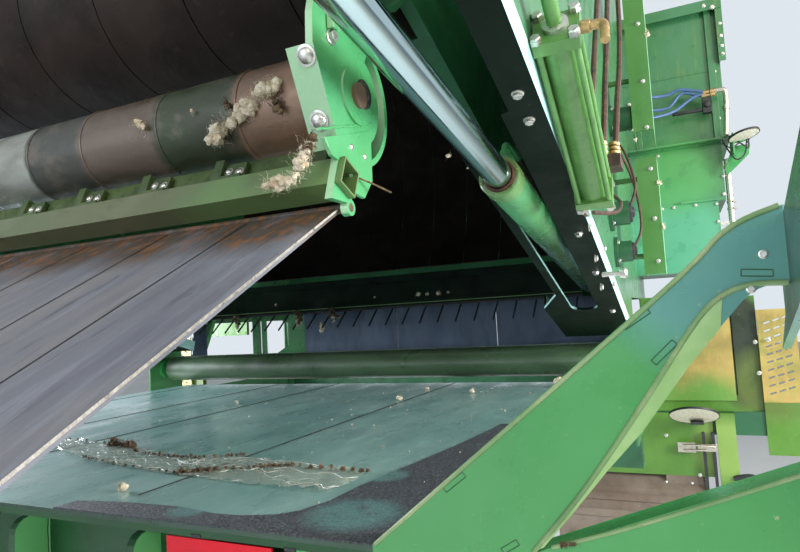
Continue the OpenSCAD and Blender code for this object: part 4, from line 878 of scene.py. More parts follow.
@dataclass
class Studio:
    """Camera at the photograph's viewpoint, plain floor and soft light."""

    eye: tuple[float, float, float] = (1.65, -3.50, 0.76)
    # Vanishing points of the lines that run across and along the machine, in the image's pixels
    across_point: tuple[float, float] = (-925.0, 393.0)
    along_point: tuple[float, float] = (680.0, 303.0)
    floor_z: float = -1.35
    floor_size: float = 60.0

    def camera(self) -> None:
        """Solves the camera's turn and focal length from the two vanishing points."""
        centre = np.array([IMAGE_WIDTH / 2, IMAGE_HEIGHT / 2])
        left, ahead = (np.array(point) - centre for point in (self.across_point, self.along_point))
        focal = math.sqrt(-(left @ ahead))
        to_left, to_front = (np.array([*way, focal]) for way in (left, ahead))
        to_left /= np.linalg.norm(to_left)
        to_front /= np.linalg.norm(to_front)
        to_ground = np.cross(to_left, to_front)
        # Rows are the machine's x, y and z axes; columns the image's right, down and depth
        turn = np.array([-to_left, to_front, -to_ground])
        data = bpy.data.cameras.new("photo_camera")
        data.sensor_fit = "HORIZONTAL"
        data.sensor_width = 36.0
        data.lens = focal * data.sensor_width / IMAGE_WIDTH
        data.clip_start = 0.02
        data.clip_end = 200.0
        camera = bpy.data.objects.new("photo_camera", data)
        pose = Matrix.Identity(4)
        for row, (right, down, depth) in enumerate(turn):
            pose[row] = (right, -down, -depth, self.eye[row])
        camera.matrix_world = pose
        bpy.context.scene.collection.objects.link(camera)
        bpy.context.scene.camera = camera

    def lamp(self, name: str, place: Place, aim: Place, size: float, power: float, colour: str) -> None:
        """Adds one soft area lamp.

        Args:
            name: its name.
            place: where it stands, in metres.
            aim: the point that it faces.
            size: its diameter in metres.
            power: its power in watts.
            colour: its colour, as an sRGB hex code.
        """
        data = bpy.data.lights.new(name, "AREA")
        data.shape = "DISK"
        data.size = size
        data.energy = power
        data.color = linear(colour)[:3]
        lamp = bpy.data.objects.new(name, data)
        lamp.location = place
        lamp.rotation_mode = "QUATERNION"
        lamp.rotation_quaternion = (Vector(aim) - Vector(place)).to_track_quat("-Z", "Y")
        bpy.context.scene.collection.objects.link(lamp)

    def world(self, strength: float) -> None:
        """Gives an even soft light, and a pale backdrop to the camera and to reflections.

        Args:
            strength: the strength of the even light.
        """
        world = bpy.data.worlds.new("studio")
        bpy.context.scene.world = world
        world.use_nodes = True
        tree = world.node_tree
        tree.nodes.clear()
        path = add_node(tree, "LightPath")
        seen = combine(tree, "MAXIMUM", path.outputs["Is Camera Ray"], path.outputs["Is Transmission Ray"])
        seen = combine(tree, "MAXIMUM", seen, path.outputs["Is Glossy Ray"])
        lit = add_node(tree, "Background", {"Color": linear("#e8f0f8"), "Strength": strength})
        shown = add_node(tree, "Background", {"Color": linear("#dfe7ee"), "Strength": 1.0})
        mix = add_node(tree, "MixShader", links={0: seen, 1: lit, 2: shown})
        add_node(tree, "OutputWorld", links={"Surface": mix})

    def build(self) -> None:
        """Builds the camera, the lamps, the world and the floor."""
        self.camera()
        self.world(0.38)
        self.lamp("rear_key", (5.5, -8.5, 4.5), (0.8, -2.2, 1.0), 5.0, 400, "#fff6e6")
        self.lamp("rear_fill", (-2.0, -9.5, 2.2), (0.0, -1.6, 0.6), 6.0, 320, "#e8f2ff")
        self.lamp("right_side", (7.5, -1.0, 3.5), (1.5, -1.5, 1.1), 4.0, 240, "#fff0d0")
        self.lamp("deck_left", (-5.0, -1.5, 1.2), (0.3, -1.3, 0.45), 2.4, 800, "#eef4ff")
        self.lamp("deck_right", (4.6, -1.8, 1.2), (0.0, -1.4, 0.42), 1.6, 220, "#eef4ff")
        half = self.floor_size / 2
        corners = [(x * half, y * half, self.floor_z) for x, y in ((-1, -1), (1, -1), (1, 1), (-1, 1))]
        floor_mesh = bpy.data.meshes.new("studio_floor")
        floor_mesh.from_pydata(corners, [], [(0, 1, 2, 3)])
        floor_mesh.materials.append(STUDIO_FLOOR.build())
        floor = bpy.data.objects.new("studio_floor", floor_mesh)
        bpy.context.scene.collection.objects.link(floor)
        bpy.context.scene.view_settings.view_transform = "Standard"
        log.info("studio ready")


@dataclass
class PackedParts:
    """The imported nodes, dressed in their finishes."""

    def build(self) -> None:
        """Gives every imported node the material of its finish."""
        for finish, names in NODE_FINISHES:
            for name in names.split():
                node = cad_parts[name]
                node.data.materials.clear()
                node.data.materials.append(finish.build())
            log.info("dressed %s in %s", names, finish.name)


@dataclass
class Deck:
    """Plate joints, torn film, trash and crumbs of lint on the deck."""

    seam_x: tuple[float, ...] = (-1.075, -0.50, -0.10, 0.58)
    seam_width: float = 0.005
    seam_height: float = 0.0012

    def build(self) -> None:
        """Lays the seams, the film and the dirt on the deck's top."""
        low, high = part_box("deck_plate")
        top = high[2]
        seams = Form()
        for x in self.seam_x:
            seams.block((x, low[1] + 0.12, top),
                        (x + self.seam_width, high[1] - 0.002, top + self.seam_height))
        seams.make("deck_seams", BLACK_MOULDING, Body.DECK, "deck_paint")
        self.film(top)
        self.trash(top)

    def film(self, top: float) -> None:
        """Lays a crinkled scrap of film with its creases flat on the deck.

        Args:
            top: the height of the deck's top.
        """
        # Far edge and near edge of the scrap, from left to right
        far = [(-0.62, -1.98), (-0.27, -2.10), (0.10, -2.16), (0.30, -2.22), (0.48, -2.24), (0.66, -2.22),
               (0.99, -2.28)]
        near = [(-0.60, -2.02), (-0.20, -2.20), (0.06, -2.30), (0.30, -2.36), (0.54, -2.40), (0.78, -2.43),
                (0.98, -2.44)]
        across, along = 60, 14
        rng = np.random.default_rng(4)
        edges = [smooth_route([(x, y, 0) for x, y in edge], 10) for edge in (far, near)]
        last_point = len(edges[0]) - 1

        def on_film(place: float, share: float) -> Vector:
            """Gives a point of the scrap.

            Args:
                place: how far along its edges, counted in their points.
                share: the share of the way across it.

            Returns:
                The point, at height 0.
            """
            k = min(int(place), last_point - 1)
            a, b = (edge[k].lerp(edge[k + 1], place - k) for edge in edges)
            return a.lerp(b, share)

        scrap = Form()
        points = []
        for i in range(across + 1):
            for j in range(along + 1):
                p = on_film(i / across * last_point, j / along)
                lift = 0.0015 + abs(rng.normal(0, 0.0035)) * (1.6 if j in (0, along) else 1.0)
                points.append((p.x + rng.normal(0, 0.004), p.y + rng.normal(0, 0.004), top + lift))
        step = along + 1
        faces = [(i * step + j, (i + 1) * step + j, (i + 1) * step + j + 1, i * step + j + 1)
                 for i in range(across) for j in range(along)]
        scrap.add(points, faces)
        scrap.make("film_scrap", STRETCH_FILM, Body.DECK, "deck_paint", smooth_degrees=MATTED)
        creases = Form()
        for row in range(46):
            share = (row + 0.5) / 46 + rng.uniform(-0.03, 0.03)
            first = rng.uniform(0.0, 0.9)
            last = min(1.0, first + rng.uniform(0.05, 0.22))
            wave = rng.uniform(0, FULL_TURN)
            route = []
            for i in range(12):
                place = (first + (last - first) * i / 11) * (last_point - 0.001)
                p = on_film(place, min(1.0, max(0.0, share + 0.07 * math.sin(wave + 1.3 * i))))
                route.append((p.x, p.y, top + 0.0035))
            creases.tube(route, rng.uniform(0.0004, 0.0010), 5, 3)
        creases.make("film_creases", FILM_CREASE, Body.DECK, "deck_paint", smooth_degrees=MATTED)

    def trash(self, top: float) -> None:
        """Lays ridges of matted trash, a clump and scattered crumbs.

        Args:
            top: the height of the deck's top.
        """
        # columns: the ridge's points, lump size, seed, lumps
        table = (
            ([(-0.62, -1.99), (-0.27, -2.10), (0.10, -2.165)], 0.005, 11, 70),
            ([(0.02, -2.15), (0.13, -2.17)], 0.017, 12, 30),
            ([(0.20, -2.22), (0.36, -2.25), (0.48, -2.245), (0.57, -2.195)], 0.006, 13, 90),
            ([(0.55, -2.376), (0.68, -2.31), (0.78, -2.275), (0.99, -2.285)], 0.007, 14, 110),
            ([(0.10, -2.31), (0.30, -2.36), (0.54, -2.395)], 0.004, 15, 50),
            ([(0.54, -2.39), (0.60, -2.36)], 0.010, 16, 24),
        )
        ridges = tufts([([(x, y, top + 0.006) for x, y in route], size, seed, lumps, 260, 0.8)
                        for route, size, seed, lumps in table])
        floor_limit = top + 0.0008
        ridges.points = [(x, y, max(z, floor_limit)) for x, y, z in ridges.points]
        ridges.make("deck_trash", LEAF_TRASH, Body.DECK, "deck_paint", smooth_degrees=MATTED)
        rng = np.random.default_rng(21)
        crumbs = Form()
        for _ in range(150):
            x = rng.uniform(-1.15, 1.15)
            y = -2.6 + 2.0 * rng.beta(1.2, 1.6)
            size = rng.uniform(0.0012, 0.0032)
            fluff(crumbs, [(x, y, top + 0.003)], size, int(rng.integers(1e6)), 2, 4, 0.5)
        # columns: x, y, size
        larger = ((0.52, -2.54, 0.012), (1.15, -0.75, 0.03), (0.80, -0.95, 0.014), (0.55, -0.86, 0.010),
                  (0.552, -1.169, 0.012), (-0.20, -1.30, 0.008))
        for x, y, size in larger:
            fluff(crumbs, [(x, y, top + size * 0.6)], size, int(abs(x) * 1000), 8, 60)
        crumbs.points = [(x, y, max(z, floor_limit)) for x, y, z in crumbs.points]
        crumbs.make("deck_lint", COTTON_LINT, Body.DECK, "deck_paint", smooth_degrees=MATTED)


@dataclass
class Apron:
    """The rubber apron: strips side by side with a pale frayed edge at each end."""

    slope_degrees: float = 27.8
    pin: tuple[float, float, float] = (0, -2.704938, 0.931157)
    length: float = 0.65
    thickness: float = 0.007
    half_width: float = 1.194
    seam_width: float = 0.003
    seams: tuple[float, ...] = (1.03, 0.86, 0.66, 0.47, 0.25, 0.04, -0.2, -0.45, -0.7, -0.95)

    def build(self) -> None:
        """Lays a groove line at each joint of the strips and threads along the cut edges."""
        slope = math.radians(self.slope_degrees)
        down = Vector((0, -math.cos(slope), -math.sin(slope)))
        out = Vector((0, -math.sin(slope), math.cos(slope)))
        start = Vector(self.pin) + out * (self.thickness / 2 + 0.0004)
        lines = Form()
        margin = 0.02
        side = Vector((self.seam_width / 2, 0, 0))
        for x in self.seams:
            a = start + down * margin + Vector((x, 0, 0)) + out * 0.0006
            b = start + down * (self.length - margin) + Vector((x - 0.012, 0, 0)) - out * 0.0058
            lines.add([a - side, a + side, b + side, b - side], [(0, 1, 2, 3)])
        rng = np.random.default_rng(7)
        edge = Form()
        cut = out * 0.0034
        for outward in (Vector((-1, 0, 0)), Vector((1, 0, 0))):
            for _ in range(120):
                t = rng.uniform(0.02, self.length)
                sink = 0.006 * t / self.length + rng.uniform(0, 0.007)
                root = start + down * t + outward * (self.half_width - 0.001) - out * sink
                reach = rng.uniform(0.001, 0.004)
                tip = root + outward * reach * 0.6 + down * rng.normal(0, 0.002) + out * rng.normal(0, 0.001)
                width = down * rng.uniform(0.0006, 0.0016)
                edge.add([root - width, root + width, tip], [(0, 1, 2)])
            face = start + outward * (self.half_width + 0.0003)
            top_end, low_end = face + down * 0.01, face + down * (self.length - 0.002) - out * 0.006
            edge.add([top_end, low_end, low_end - cut, top_end - cut], [(0, 1, 2, 3)])
        lines.make("apron_joints", BLACK_MOULDING, Body.APRON, "apron_rubber")
        edge.make("apron_threads", PLY_EDGE, Body.APRON, "apron_rubber")


@dataclass
class TailGear:
    """Fasteners, hub disc, weld and lint at the gate's lower end, and the rings of the tail roller."""

    clip_pitch: float = 0.166
    clip_count: int = 13
    lean_degrees: float = -24.0
    bend_degrees: float = 24.5
    rings: tuple[float, ...] = (1.036, 0.865, 0.679, 0.531, 0.36, 0.19, 0.02, -0.15, -0.32, -0.49, -0.66,
                                -0.85, -1.03)

    def build(self) -> None:
        """Adds the rings, the brackets' fasteners, the clips' bolts and the lint."""
        self.roller()
        self.brackets()
        self.clips()
        self.lint()

    def roller(self) -> None:
        """Adds a low rolled ring where each stretch of the tube begins."""
        low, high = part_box("tail_roller")
        hub = middle_of("tail_roller")
        radius = (high.z - low.z) / 2
        # columns: distance along the tube, height over its surface
        profile = [(along, radius + lift) for along, lift in (
            (0, -0.002), (0.001, 0.0012), (0.004, 0.002), (0.007, 0.0012), (0.008, -0.002))]
        rings = Form()
        for x in self.rings:
            rings.turned((x - 0.004, hub.y, hub.z), (1, 0, 0), profile, 64)
        rings.make("roller_rings", TAIL_TUBE, Body.TAIL, "rusty_steel")

    def brackets(self) -> None:
        """Adds the bolts, the hub's disc, the key, the weld and the foot plate of each bracket."""
        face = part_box("tail_bracket_right")[1].x - 0.004
        hub = middle_of("tail_roller")
        bend = math.radians(self.bend_degrees)
        out = Vector((0, -math.cos(bend), -math.sin(bend)))
        up = Vector((0, -math.sin(bend), math.cos(bend)))
        bright = Form()
        for x, lift in ((1.197, 0.072), (1.190, -0.019)):
            place = Vector((x, hub.y, hub.z)) + out * 0.0925 + up * lift
            bright.turned(place, out, ((0, 0.0155), (0.002, 0.0155), (0.0025, 0.012)), 24)
            bright.dome(place + out * 0.002, out, 0.024)
        bright.bolt((face, -2.743, 1.181), (1, 0, 0), 0.011)
        bright.bolt((face, -2.60, 1.27), (1, 0, 0), 0.011)
        for y, z in ((-2.696, 1.026), (-2.654, 1.020), (-2.71, 1.21)):
            bright.dome((face, y, z), (1, 0, 0), 0.011)
        bright.pair("bracket_bolts", ZINC_PLATE, "bright_steel", ON_GATE)
        disc = Form()
        disc.turned((face, -2.652, 1.122), (1, 0, 0), (
            (0, 0.024), (0.005, 0.024), (0.007, 0.021), (0.007, 0.012), (0.003, 0.010), (0.003, 0.006),
            (0.009, 0.005)), 32)
        disc.pair("bracket_disc", DULL_STEEL, "bright_steel", ON_GATE)
        key = Form()
        key.block((face, -2.752, 1.190), (face + 0.012, -2.738, 1.212))
        key.pair("bracket_key", BRACKET_COAT, "green_paint", ON_GATE, 1.5)
        weld = Form()
        rng = np.random.default_rng(3)
        bead = [Vector((face, -2.79, 1.030)).lerp(Vector((face, -2.625, 1.081)), i / 24)
                + Vector((rng.uniform(-0.0006, 0.0006), 0, rng.uniform(-0.001, 0.001))) for i in range(25)]
        weld.tube(bead, 0.0022, 8, 2)
        weld.pair("bracket_weld", BRACKET_COAT, "green_paint", ON_GATE)
        plate = Form()
        plate.prism(((-2.775, 1.022), (-2.627, 1.070), (-2.630, 0.985), (-2.66, 0.952), (-2.69, 0.955),
                     (-2.70, 0.99), (-2.755, 1.0)), (face - 0.006, face + 0.001))
        plate.pair("bracket_foot", BRACKET_COAT, "green_paint", ON_GATE, 1.0)

    def clips(self) -> None:
        """Adds two bolts with washers to each clip on the scraper bar."""
        middle = middle_of("scraper_bar")
        lean = Matrix.Rotation(math.radians(self.lean_degrees), 3, "X")
        out = lean @ Vector((0, -1, 0.08))
        bolts = Form()
        for i in range(self.clip_count):
            x = (i - (self.clip_count - 1) / 2) * self.clip_pitch
            for dx, lift in ((-0.003, 0.041), (0.020, 0.038)):
                place = Vector(middle) + Vector((x + dx, 0, 0)) + lean @ Vector((0, -0.0138, lift))
                bolts.turned(place, out, ((0, 0.0085), (0.0018, 0.0085)), 18)
                bolts.dome(place + out * 0.0015, out, 0.0115)
        bolts.make("clip_bolts", ZINC_PLATE, Body.GATE, "bright_steel")

    def lint(self) -> None:
        """Adds lint that clings to the tail roller and the bar's end, with leaf trash in it."""
        # columns: route, size, seed, lumps, strands, width of a strand in mm
        tufts((
            ([(0.997, -2.757, 1.062), (1.010, -2.757, 1.078), (1.055, -2.755, 1.093), (1.088, -2.756, 1.116),
              (1.112, -2.757, 1.124)], 0.014, 31, 44, 420),
            ([(1.085, -2.757, 1.120), (1.118, -2.757, 1.118)], 0.011, 32, 14, 120),
            ([(0.835, -2.757, 1.118), (0.846, -2.757, 1.108)], 0.009, 33, 12, 120),
            ([(0.954, -2.756, 1.114)], 0.004, 34, 3, 20),
        )).make("roller_lint", COTTON_LINT, Body.TAIL, "rusty_steel", smooth_degrees=MATTED)
        tufts((
            ([(1.118, -2.757, 1.105), (1.122, -2.755, 1.085)], 0.010, 36, 10, 50, 1.0),
            ([(1.029, -2.757, 1.112)], 0.009, 37, 6, 20, 1.0),
        )).make("roller_leaf", LEAF_TRASH, Body.TAIL, "rusty_steel", smooth_degrees=MATTED)
        tufts((
            ([(1.178, -2.765, 1.015), (1.172, -2.775, 0.99)], 0.012, 41, 20, 200),
            ([(1.165, -2.775, 0.975), (1.135, -2.778, 0.965), (1.115, -2.775, 0.968)], 0.011, 42, 24, 260),
        )).make("bar_lint", COTTON_LINT, Body.GATE, "dark_green_paint", smooth_degrees=MATTED)
        stalk = tufts((([(1.185, -2.765, 1.03), (1.180, -2.77, 1.005)], 0.010, 43, 8, 60, 1.0),))
        stalk.tube([(1.205, -2.70, 0.985), (1.225, -2.665, 0.975), (1.245, -2.63, 0.962)], 0.0016, 6, 4)
        stalk.make("bar_leaf", LEAF_TRASH, Body.GATE, "dark_green_paint", smooth_degrees=MATTED)


@dataclass
class Frames:
    """Bolts on the struts, dirt on the gate's rims, the comb beam and the curtain, and a painted highlight
    along the comb beam's edge.
    """

    strut_slope_degrees: float = 16.4
    # x, y and z of the underside of a strut at its rear end
    strut_end: tuple[float, float, float] = (1.405, -2.493, 1.200)

    def build(self) -> None:
        """Adds the struts' fasteners, specks on the rims and trash that hangs in the window."""
        bolts = Form()
        slope = math.radians(self.strut_slope_degrees)
        down = Vector((0, -math.sin(slope), -math.cos(slope)))
        x, end_y, end_z = self.strut_end
        for y in (-2.388, -2.30, -1.725, -1.40, -0.95):
            bolts.bolt((x, y, end_z - math.tan(slope) * (y - end_y)), down, 0.011)
        bolts.pair("strut_bolts", ZINC_PLATE, "bright_steel")
        tufts([([(1.205, y, 1.12)], size, int(-y * 1000), 3, 24) for y, size in (
            (-2.226, 0.006), (-2.09, 0.0035), (-1.84, 0.0035), (-2.04, 0.003))
        ]).pair("rim_lint", COTTON_LINT, "green_paint", ON_GATE)
        self.window()
        self.beam_line()

    def beam_line(self) -> None:
        """Adds a bright line along the comb beam's lower edge: a painted highlight."""
        low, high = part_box("comb_beam")
        line = Form()
        line.tube([(x, low.y - 0.0005, low.z + 0.012) for x in (low.x + 0.02, high.x - 0.02)], 0.0018, 6, 1)
        # painted highlight: a bright line along the comb beam's lower edge
        line.make("comb_beam_line", EDGE_HIGHLIGHT_COAT, Body.ROOT, "dark_green_paint")

    def window(self) -> None:
        """Hangs lint and leaf trash from the comb beam, and lays lint along it."""
        lint = Form()
        leaf = Form()
        z = 0.83
        for x, reach, seed in ((-0.854, 0.07, 51), (-0.401, 0.08, 52), (-0.163, 0.07, 53)):
            fluff(leaf, [(x, -0.505, z), (x + 0.02, -0.51, z - reach * 0.6)], 0.022, seed, 10, 120, 1.2)
            route = [(x + 0.01, -0.51, z - 0.01), (x + 0.015, -0.51, z - reach)]
            fluff(lint, route, 0.016, seed + 10, 8, 160)
        fluff(lint, [(-0.235, -0.51, 0.76), (-0.225, -0.51, 0.72)], 0.018, 64, 8, 80)
        # columns: x, size
        ledge = ((0.378, 0.016), (0.43, 0.009), (0.50, 0.012), (0.554, 0.008), (0.12, 0.006), (-0.55, 0.007))
        for x, size in ledge:
            fluff(lint, [(x, -0.503, 0.885)], size, int(abs(x) * 1000) + 3, 5, 40)
        lint.make("comb_lint", COTTON_LINT, Body.ROOT, "dark_green_paint", smooth_degrees=MATTED)
        leaf.make("comb_leaf", LEAF_TRASH, Body.ROOT, "dark_green_paint", smooth_degrees=MATTED)


@dataclass
class GateCylinders:
    """Gland rings, wipers, port blocks and lines of the gate's cylinders.

    base_pin is the y and z of the barrel's lower pin.
    """

    base_pin: tuple[float, float] = (-0.740, 0.864)
    barrel_length: float = 1.449

    def build(self) -> None:
        """Adds a gland, a rubber wiper and a port block with its elbow at each barrel's mouth."""
        low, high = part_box("gate_barrel_right")
        rod_low, rod_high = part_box("gate_rod_right")
        x = (low.x + high.x) / 2
        base = Vector((x, *self.base_pin))
        eye = Vector((x, rod_low.y + 0.048, rod_high.z - 0.048))
        along = (eye - base).normalized()
        mouth = base + along * self.barrel_length
        above = Vector((0, along.z, -along.y))
        gland = Form()
        gland.turned(mouth - along * 0.001, along, (
            (0, 0.0478), (0.010, 0.0478), (0.013, 0.0440), (0.013, 0.0375), (0.009, 0.0365)), 40)
        for i in range(6):
            angle = FULL_TURN * i / 6 + 0.3
            side = Vector((math.cos(angle), 0, 0)) + above * math.sin(angle)
            gland.bolt(mouth + along * 0.012 + side * 0.0415, along, 0.0035)
        bodies = (Body.BARREL_RIGHT, Body.BARREL_LEFT)
        gland.pair("gland_ring", BARREL_COAT, "green_paint", bodies)
        wiper = Form()
        wiper.turned(mouth + along * 0.008, along,
                     ((0, 0.0375), (0.009, 0.0365), (0.011, 0.0325), (0.005, 0.0320)), 40)
        wiper.pair("rod_wiper", RUSTED_STEEL, "green_paint", bodies)
        port = Form()
        seat_at = mouth - along * 0.050 + above * 0.043
        port.turned(seat_at, above, ((0, 0.020), (0.022, 0.020), (0.026, 0.017)), 28)
        port.turned(seat_at + above * 0.026, above, ((0, 0.014), (0.014, 0.014)), 6)
        port.tube([seat_at + above * up - along * back for up, back in (
            (0.036, 0), (0.055, 0.006), (0.062, 0.04), (0.060, 0.11))], 0.0085, 12)
        port.pair("port_block", BARREL_COAT, "green_paint", bodies)
        line = Form()
        line.tube([seat_at + above * up - along * back for up, back in (
            (0.060, 0.10), (0.052, 0.40), (0.030, 0.85), (0.016, 1.20))], 0.0075, 10, 8)
        line.pair("cylinder_line", HOSE_COVER, "hose_rubber", bodies)


@dataclass
class RearBeam:
    """Weld beads, slots and cover panels on the deck's rear beam."""

    gusset_pitch: float = 0.342

    def build(self) -> None:
        """Adds the beads beside each gusset, the slots and the cover panels."""
        low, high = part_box("rear_beam")
        web = high.y - 0.008
        rng = np.random.default_rng(5)
        beads = Form()
        for i in range(-3, 4):
            for side in (-1, 1):
                x = i * self.gusset_pitch + side * 0.0115
                route = [(x, web - 0.001 + rng.uniform(-0.001, 0.001),
                          low.z + 0.012 + k * 0.012) for k in range(16)]
                beads.tube(route, 0.0032, 8, 2)
        beads.make("rear_welds", BEAM_COAT, Body.DECK, "dark_green_paint")
        # painted shade: the slots are black blocks that stand for their dark openings
        slots = Form()
        for x, z, run in ((0.851, 0.402, 0.022), (1.049, 0.399, 0.022), (0.30, 0.40, 0.02)):
            for middle in (-x, x):
                slots.block((middle - run / 2, low.y - 0.0012, z - 0.003),
                            (middle + run / 2, low.y + 0.002, z + 0.003))
        slots.make("rear_slots", BLACK_MOULDING, Body.DECK, "dark_green_paint", 0.5)
        panel = Form()
        panel.block((0.70, web - 0.016, low.z + 0.02), (1.02, web - 0.002, low.z + 0.215))
        panel.pair("rear_panel", BEAM_COAT, "dark_green_paint", ON_DECK, 2.0)


@dataclass
class Outriggers:
    """Folded rims and flange with painted highlights, slots outlined in painted shade, bolts and lint of the
    outriggers.
    """

    rear: float = -2.67

    def build(self) -> None:
        """Adds the arm's rims and pale flange as painted highlights, its slots outlined in painted shade, its
        bolts and a tuft of trash.
        """
        rim = Form()
        self.strip(rim, [(1.205, 0.424), (1.62, 0.765), (1.705, 0.843), (1.764, 0.868)], 0.0034)
        inner = [(1.445, 0.438), (1.52, 0.528), (1.60, 0.640), (1.665, 0.735), (1.697, 0.766),
                 (1.728, 0.777), (1.766, 0.777)]
        self.strip(rim, inner, 0.0036)
        self.strip(rim, [(1.47, 0.446), (1.60, 0.492), (1.838, 0.588)], 0.0028)
        # painted highlights: the rims stand for light and ground reflection on the folded edges
        rim.pair("arm_rims", EDGE_HIGHLIGHT_COAT, "green_paint", ON_DECK)
        flange = Form()
        outer = [(1.459, 0.445), (1.499, 0.491), (1.549, 0.551), (1.595, 0.602), (1.653, 0.681),
                 (1.692, 0.727)]
        flange.prism(inner[:5] + outer[::-1], (self.rear - 0.0012, self.rear + 0.001), 1)
        # painted highlight: the pale flange
        flange.pair("arm_flange", PALE_EDGE, "green_paint", ON_DECK)
        slots = Form()
        # columns: x and z of the two ends
        ends = ((1.582, 0.733, 1.613, 0.753), (1.614, 0.687, 1.640, 0.712), (1.322, 0.511, 1.353, 0.535),
                (1.402, 0.434, 1.424, 0.448), (1.719, 0.792, 1.752, 0.789), (1.27, 0.36, 1.30, 0.376))
        for x0, z0, x1, z1 in ends:
            self.slot_mark(slots, Vector((x0, self.rear, z0)), Vector((x1, self.rear, z1)))
        # painted shade round each slot
        slots.pair("arm_slots", SHADE_DARKENED_COAT, "green_paint", ON_DECK)
        bolts = Form()
        for x, z in ((1.728, 0.772), (1.744, 0.812)):
            bolts.bolt((x, self.rear, z), (0, -1, 0), 0.005)
        bolts.pair("arm_bolts", ZINC_PLATE, "bright_steel", ON_DECK)
        tufts((([(1.485, -2.674, 0.452), (1.50, -2.674, 0.455)], 0.006, 71, 8, 30),)
              ).pair("arm_lint", LEAF_TRASH, "green_paint", ON_DECK)

    def strip(self, form: Form, line: Iterable[Place], width: float) -> None:
        """Adds a rounded edge bead along a line of x, z places on the rear face."""
        form.tube([(x, self.rear - width * 0.2, z) for x, z in line], width, 10, 6)

    def slot_mark(self, form: Form, start: Vector, end: Vector) -> None:
        """Adds a slot's low rim in the darkened coat, a painted shade, whose middle lies in its own shade.

        Args:
            form: the form to add to.
            start: the middle of the slot's one end.
            end: the middle of its other end.
        """
        run = (end - start).normalized()
        out = Vector((0, -1, 0))
        side = run.cross(out)
        half = 0.004
        corners = [start + side * half, end + side * half, end - side * half, start - side * half]
        for a, b in zip(corners, corners[1:] + corners[:1]):
            form.tube([a + out * 0.0002, b + out * 0.0002], 0.0008, 6, 1)


